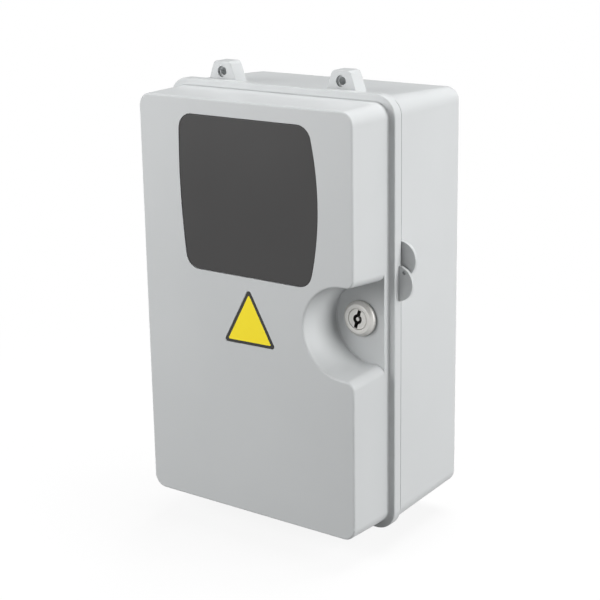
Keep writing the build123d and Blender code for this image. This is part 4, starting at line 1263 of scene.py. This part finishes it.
WINDOW_SCREW = (0.0042, 0.0016, 0.0011, 0.0050, 0.0006)
screw = hexagon_screw("single_screw", *WINDOW_SCREW, facing=-1)
places = [(x, -PANE_BACK, z) for x, z in WINDOW_SCREWS]
set_of_screws("window_screw_set", screw, places, zinc_steel, "door", "window_screws")


# Lock: a cam lock of die-cast zinc with a satin nickel finish, its cap on a rubber washer.
# A hexagon nut behind the scoop's floor holds it, on the body's thread.
material, tree, shader, output = node_material("satin_nickel")
place = tree.nodes.new("ShaderNodeTexCoord")
cloud = tree.nodes.new("ShaderNodeTexNoise")
cloud.inputs["Scale"].default_value = 260.0
cloud.inputs["Detail"].default_value = 4.0
tint = tree.nodes.new("ShaderNodeValToRGB")
tint.color_ramp.elements[0].color = (0.60, 0.59, 0.565, 1)
tint.color_ramp.elements[1].color = (0.70, 0.69, 0.665, 1)
gloss = tree.nodes.new("ShaderNodeMapRange")
gloss.inputs["To Min"].default_value = 0.36
gloss.inputs["To Max"].default_value = 0.50
tree.links.new(place.outputs["Object"], cloud.inputs["Vector"])
tree.links.new(cloud.outputs["Fac"], tint.inputs["Fac"])
tree.links.new(tint.outputs["Color"], shader.inputs["Base Color"])
tree.links.new(cloud.outputs["Fac"], gloss.inputs["Value"])
tree.links.new(gloss.outputs["Result"], shader.inputs["Roughness"])
shader.inputs["Metallic"].default_value = 0.45
lock_metal = material

CAP_FRONT = 0.09985
CAP_BACK = 0.09565
BODY_RADIUS = 0.0089
BODY_END = 0.0830


def turned(name, centre, profile, steps=96, closed=True):
    """Turned piece about an axis along Y, from the radius and depth of each ring."""
    rings = []
    for radius, depth in profile:
        rings.append([Vector((x, -depth, z)) for x, z in disc_outline(centre, radius, steps)])
    return made_solid(name, rings, closed=closed)


washer = (
    (0.0092, 0.09487),
    (0.0114, 0.09487),
    (0.0115, 0.09497),
    (0.0115, 0.09553),
    (0.0114, 0.09563),
    (0.0092, 0.09563),
)
seal_washer = turned("rubber_washer", LOCK_AXIS, washer, 72)
finished(seal_washer, black_foam, "door", "lock_seal_washer")

profile = [(0.00735, BODY_END), (0.0084, BODY_END)]
for turn_number in range(4):
    depth = BODY_END + 0.0004 + 0.0009 * turn_number
    profile += [(BODY_RADIUS - 0.0005, depth), (BODY_RADIUS, depth + 0.00035), (BODY_RADIUS, depth + 0.00055)]
profile += [(BODY_RADIUS, CAP_BACK), (0.0120, CAP_BACK), (0.0122, CAP_BACK + 0.0002), (0.0122, 0.0971)]
for step in range(1, 7):
    angle = math.radians(50 * step / 6)
    profile.append((0.0122 - 0.0016 * (1 - math.cos(angle)), 0.0971 + 0.0016 * math.sin(angle)))
profile += [(0.0103, CAP_FRONT - 0.00022), (0.0100, CAP_FRONT - 0.00006), (0.0096, CAP_FRONT)]
profile += [(0.0077, CAP_FRONT), (0.0074, CAP_FRONT - 0.0001), (0.0072, CAP_FRONT - 0.0004)]
profile += [(0.00712, CAP_FRONT - 0.0007), (0.00712, BODY_END + 0.0002)]
housing = turned("lock_cap_and_body", LOCK_AXIS, profile)
finished(housing, lock_metal, "door", "lock_housing", 24.0)

hexagon = disc_outline(LOCK_AXIS, 0.012 / math.cos(math.radians(30)), 6, 30.0, 390.0)
nut = plate_solid("hexagon_nut", hexagon, 0.08685, 0.09183, 0.0006, 0.0003)
bore = plate_solid("nut_bore", disc_outline(LOCK_AXIS, 0.0091, 72), 0.0860, 0.0930, 0.0, 0.0)
worked(nut, "DIFFERENCE", bore)
finished(nut, zinc_steel, "door", "lock_nut")


# Barrel of the lock: the part that the key turns, with its keyway round a fixed pin.
# Its square end carries the cam, and the inside of the keyway is painted near-black as painted shade, where
# the deep slot lies in shadow.
# Painted shade: a near-black colour that stands for the shadow deep inside the keyway.
material, tree, shader, output = node_material("keyway_dark")
place = tree.nodes.new("ShaderNodeTexCoord")
cloud = tree.nodes.new("ShaderNodeTexNoise")
cloud.inputs["Scale"].default_value = 700.0
tint = tree.nodes.new("ShaderNodeValToRGB")
tint.color_ramp.elements[0].color = (0.016, 0.016, 0.015, 1)
tint.color_ramp.elements[1].color = (0.050, 0.048, 0.044, 1)
tree.links.new(place.outputs["Object"], cloud.inputs["Vector"])
tree.links.new(cloud.outputs["Fac"], tint.inputs["Fac"])
tree.links.new(tint.outputs["Color"], shader.inputs["Base Color"])
shader.inputs["Roughness"].default_value = 0.6

BARREL_FRONT = 0.09955
KEYWAY_TILT = 15.0
KEYWAY_FLOOR = 0.09455
profile = [
    (0.0068, 0.0781),
    (0.0070, 0.0783),
    (0.0070, BARREL_FRONT - 0.0003),
    (0.0069, BARREL_FRONT - 0.0001),
    (0.0067, BARREL_FRONT),
]
barrel = turned("lock_barrel", LOCK_AXIS, profile, 96, closed=False)
square = rounded_block(LOCK_AXIS, 0.0035, 0.0035, 0.0004)
worked(barrel, "UNION", plate_solid("square_end", square, 0.07568, 0.0790, 0.0002, 0.0))
keyway = rounded_block((0, 0), 0.0013, 0.0065, 0.0004)
turn = Matrix.Rotation(math.radians(-KEYWAY_TILT), 2)
slit = [turn @ Vector(point) + Vector(LOCK_AXIS) for point in keyway]
worked(barrel, "DIFFERENCE", plate_solid("keyway", slit, KEYWAY_FLOOR, 0.1010, 0.0, 0.0))
recess = plate_solid("recess", disc_outline(LOCK_AXIS, 0.0034, 48), KEYWAY_FLOOR + 0.0004, 0.1010, 0.0, 0.0)
worked(barrel, "DIFFERENCE", recess)
pin = plate_solid("pin", disc_outline(LOCK_AXIS, 0.0014, 32), KEYWAY_FLOOR - 0.0006, 0.0994, 0.0, 0.0003)
worked(barrel, "UNION", pin)
bore = plate_solid("screw_bore", disc_outline(LOCK_AXIS, 0.0020, 24), 0.0750, 0.0880, 0.0, 0.0)
worked(barrel, "DIFFERENCE", bore)
finished(barrel, lock_metal, "lock_barrel", "lock_driver", 24.0)
# Faces inside the keyway, round the pin, take the painted shade as a second material.
barrel.data.materials.append(material)
axis = Vector((LOCK_AXIS[0], 0, LOCK_AXIS[1]))
for face in barrel.data.polygons:
    from_axis = (face.center - axis) * Vector((1, 0, 1))
    inside_keyway = KEYWAY_FLOOR - 0.0001 < -face.center.y < BARREL_FRONT - 0.0001
    if inside_keyway and 0.0016 < from_axis.length < 0.00665:
        face.material_index = 1


# Cam: stamped steel plate on the barrel's square end, held by a screw with a washer.
# It points up when the door is free, and turns behind the box's keeper to lock it.
CAM_FRONT = 0.0781
CAM_BACK = 0.0756
CAM_REACH = 0.0156
CAM_TAIL = -0.0080
CAM_HALF_WIDTH = 0.007
CAM_CORNER = 0.0043
cam_outline = []
for corner, (side, level, up) in enumerate(
    ((1, CAM_REACH, 1), (-1, CAM_REACH, 1), (-1, CAM_TAIL, -1), (1, CAM_TAIL, -1))
):
    turn_x = LOCK_AXIS[0] + side * (CAM_HALF_WIDTH - CAM_CORNER)
    turn_z = LOCK_AXIS[1] + level - up * CAM_CORNER
    cam_outline += disc_outline((turn_x, turn_z), CAM_CORNER, 10, 90.0 * corner, 90.0 * (corner + 1))
cam = plate_solid("stamped_cam", cam_outline, CAM_BACK, CAM_FRONT - 0.00002, 0.0002, 0.0004)
square = rounded_block(LOCK_AXIS, 0.00355, 0.00355, 0.0003)
worked(cam, "DIFFERENCE", plate_solid("square_hole", square, 0.0750, 0.0790, 0.0, 0.0))
finished(cam, zinc_steel, "lock_barrel", "lock_cam")

washer = [(0.0021, 0.07462), (0.0058, 0.07462), (0.0060, 0.07482), (0.0060, 0.07558), (0.0021, 0.07558)]
finished(turned("steel_washer", LOCK_AXIS, washer, 48), zinc_steel, "lock_barrel", "cam_washer")
CAM_SCREW = (0.0038, 0.0026, 0.0019, 0.0120, 0.0007)
screw = hexagon_screw("single_screw", *CAM_SCREW, facing=-1)
places = [(LOCK_AXIS[0], -0.0746, LOCK_AXIS[1])]
set_of_screws("cam_screw_set", screw, places, zinc_steel, "lock_barrel", "cam_screw")


# Triangular plate on the door, below the window: thin sheet, yellow with a dark border.
# It is blank here. It is stuck into a shallow recess, its face level with the door's.
plate_mesh = bpy.data.meshes.new("sign_plate")
sheet = bmesh.new()
rings = []
for inset, depth in ((0.0, 0.0), (0.0, 0.75), (0.00012, 1.0), (PLATE_BORDER, 1.0)):
    radius = max(PLATE_CORNER_RADIUS - inset, 0.0007)
    points = rounded_corners(shrunk(PLATE_CORNERS, inset), radius, 12)
    y = -DOOR_FRONT + PLATE_DEPTH - (PLATE_DEPTH - 0.00003) * depth
    rings.append([sheet.verts.new((p.x, y, p.y)) for p in points])
for outer, inner in zip(rings, rings[1:]):
    for i in range(len(outer)):
        j = (i + 1) % len(outer)
        sheet.faces.new((outer[i], outer[j], inner[j], inner[i])).material_index = 1
sheet.faces.new(rings[-1]).material_index = 0
sheet.faces.new(rings[0][::-1]).material_index = 1
bmesh.ops.recalc_face_normals(sheet, faces=sheet.faces)
sheet.to_mesh(plate_mesh)
sheet.free()
plate = bpy.data.objects.new("sign_plate", plate_mesh)
scene.collection.objects.link(plate)
for part, dark, light, roughness in (
    ("plate_yellow", (0.98, 0.78, 0.012), (1.0, 0.82, 0.018), 0.35),
    ("plate_border", (0.006, 0.006, 0.005), (0.012, 0.012, 0.010), 0.5),
):
    material, tree, shader, output = node_material(part)
    place = tree.nodes.new("ShaderNodeTexCoord")
    cloud = tree.nodes.new("ShaderNodeTexNoise")
    cloud.inputs["Scale"].default_value = 90.0
    tint = tree.nodes.new("ShaderNodeValToRGB")
    tint.color_ramp.elements[0].color = (*dark, 1)
    tint.color_ramp.elements[1].color = (*light, 1)
    tree.links.new(place.outputs["Object"], cloud.inputs["Vector"])
    tree.links.new(cloud.outputs["Fac"], tint.inputs["Fac"])
    tree.links.new(tint.outputs["Color"], shader.inputs["Base Color"])
    shader.inputs["Roughness"].default_value = roughness
    plate_mesh.materials.append(material)
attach(plate, "door")
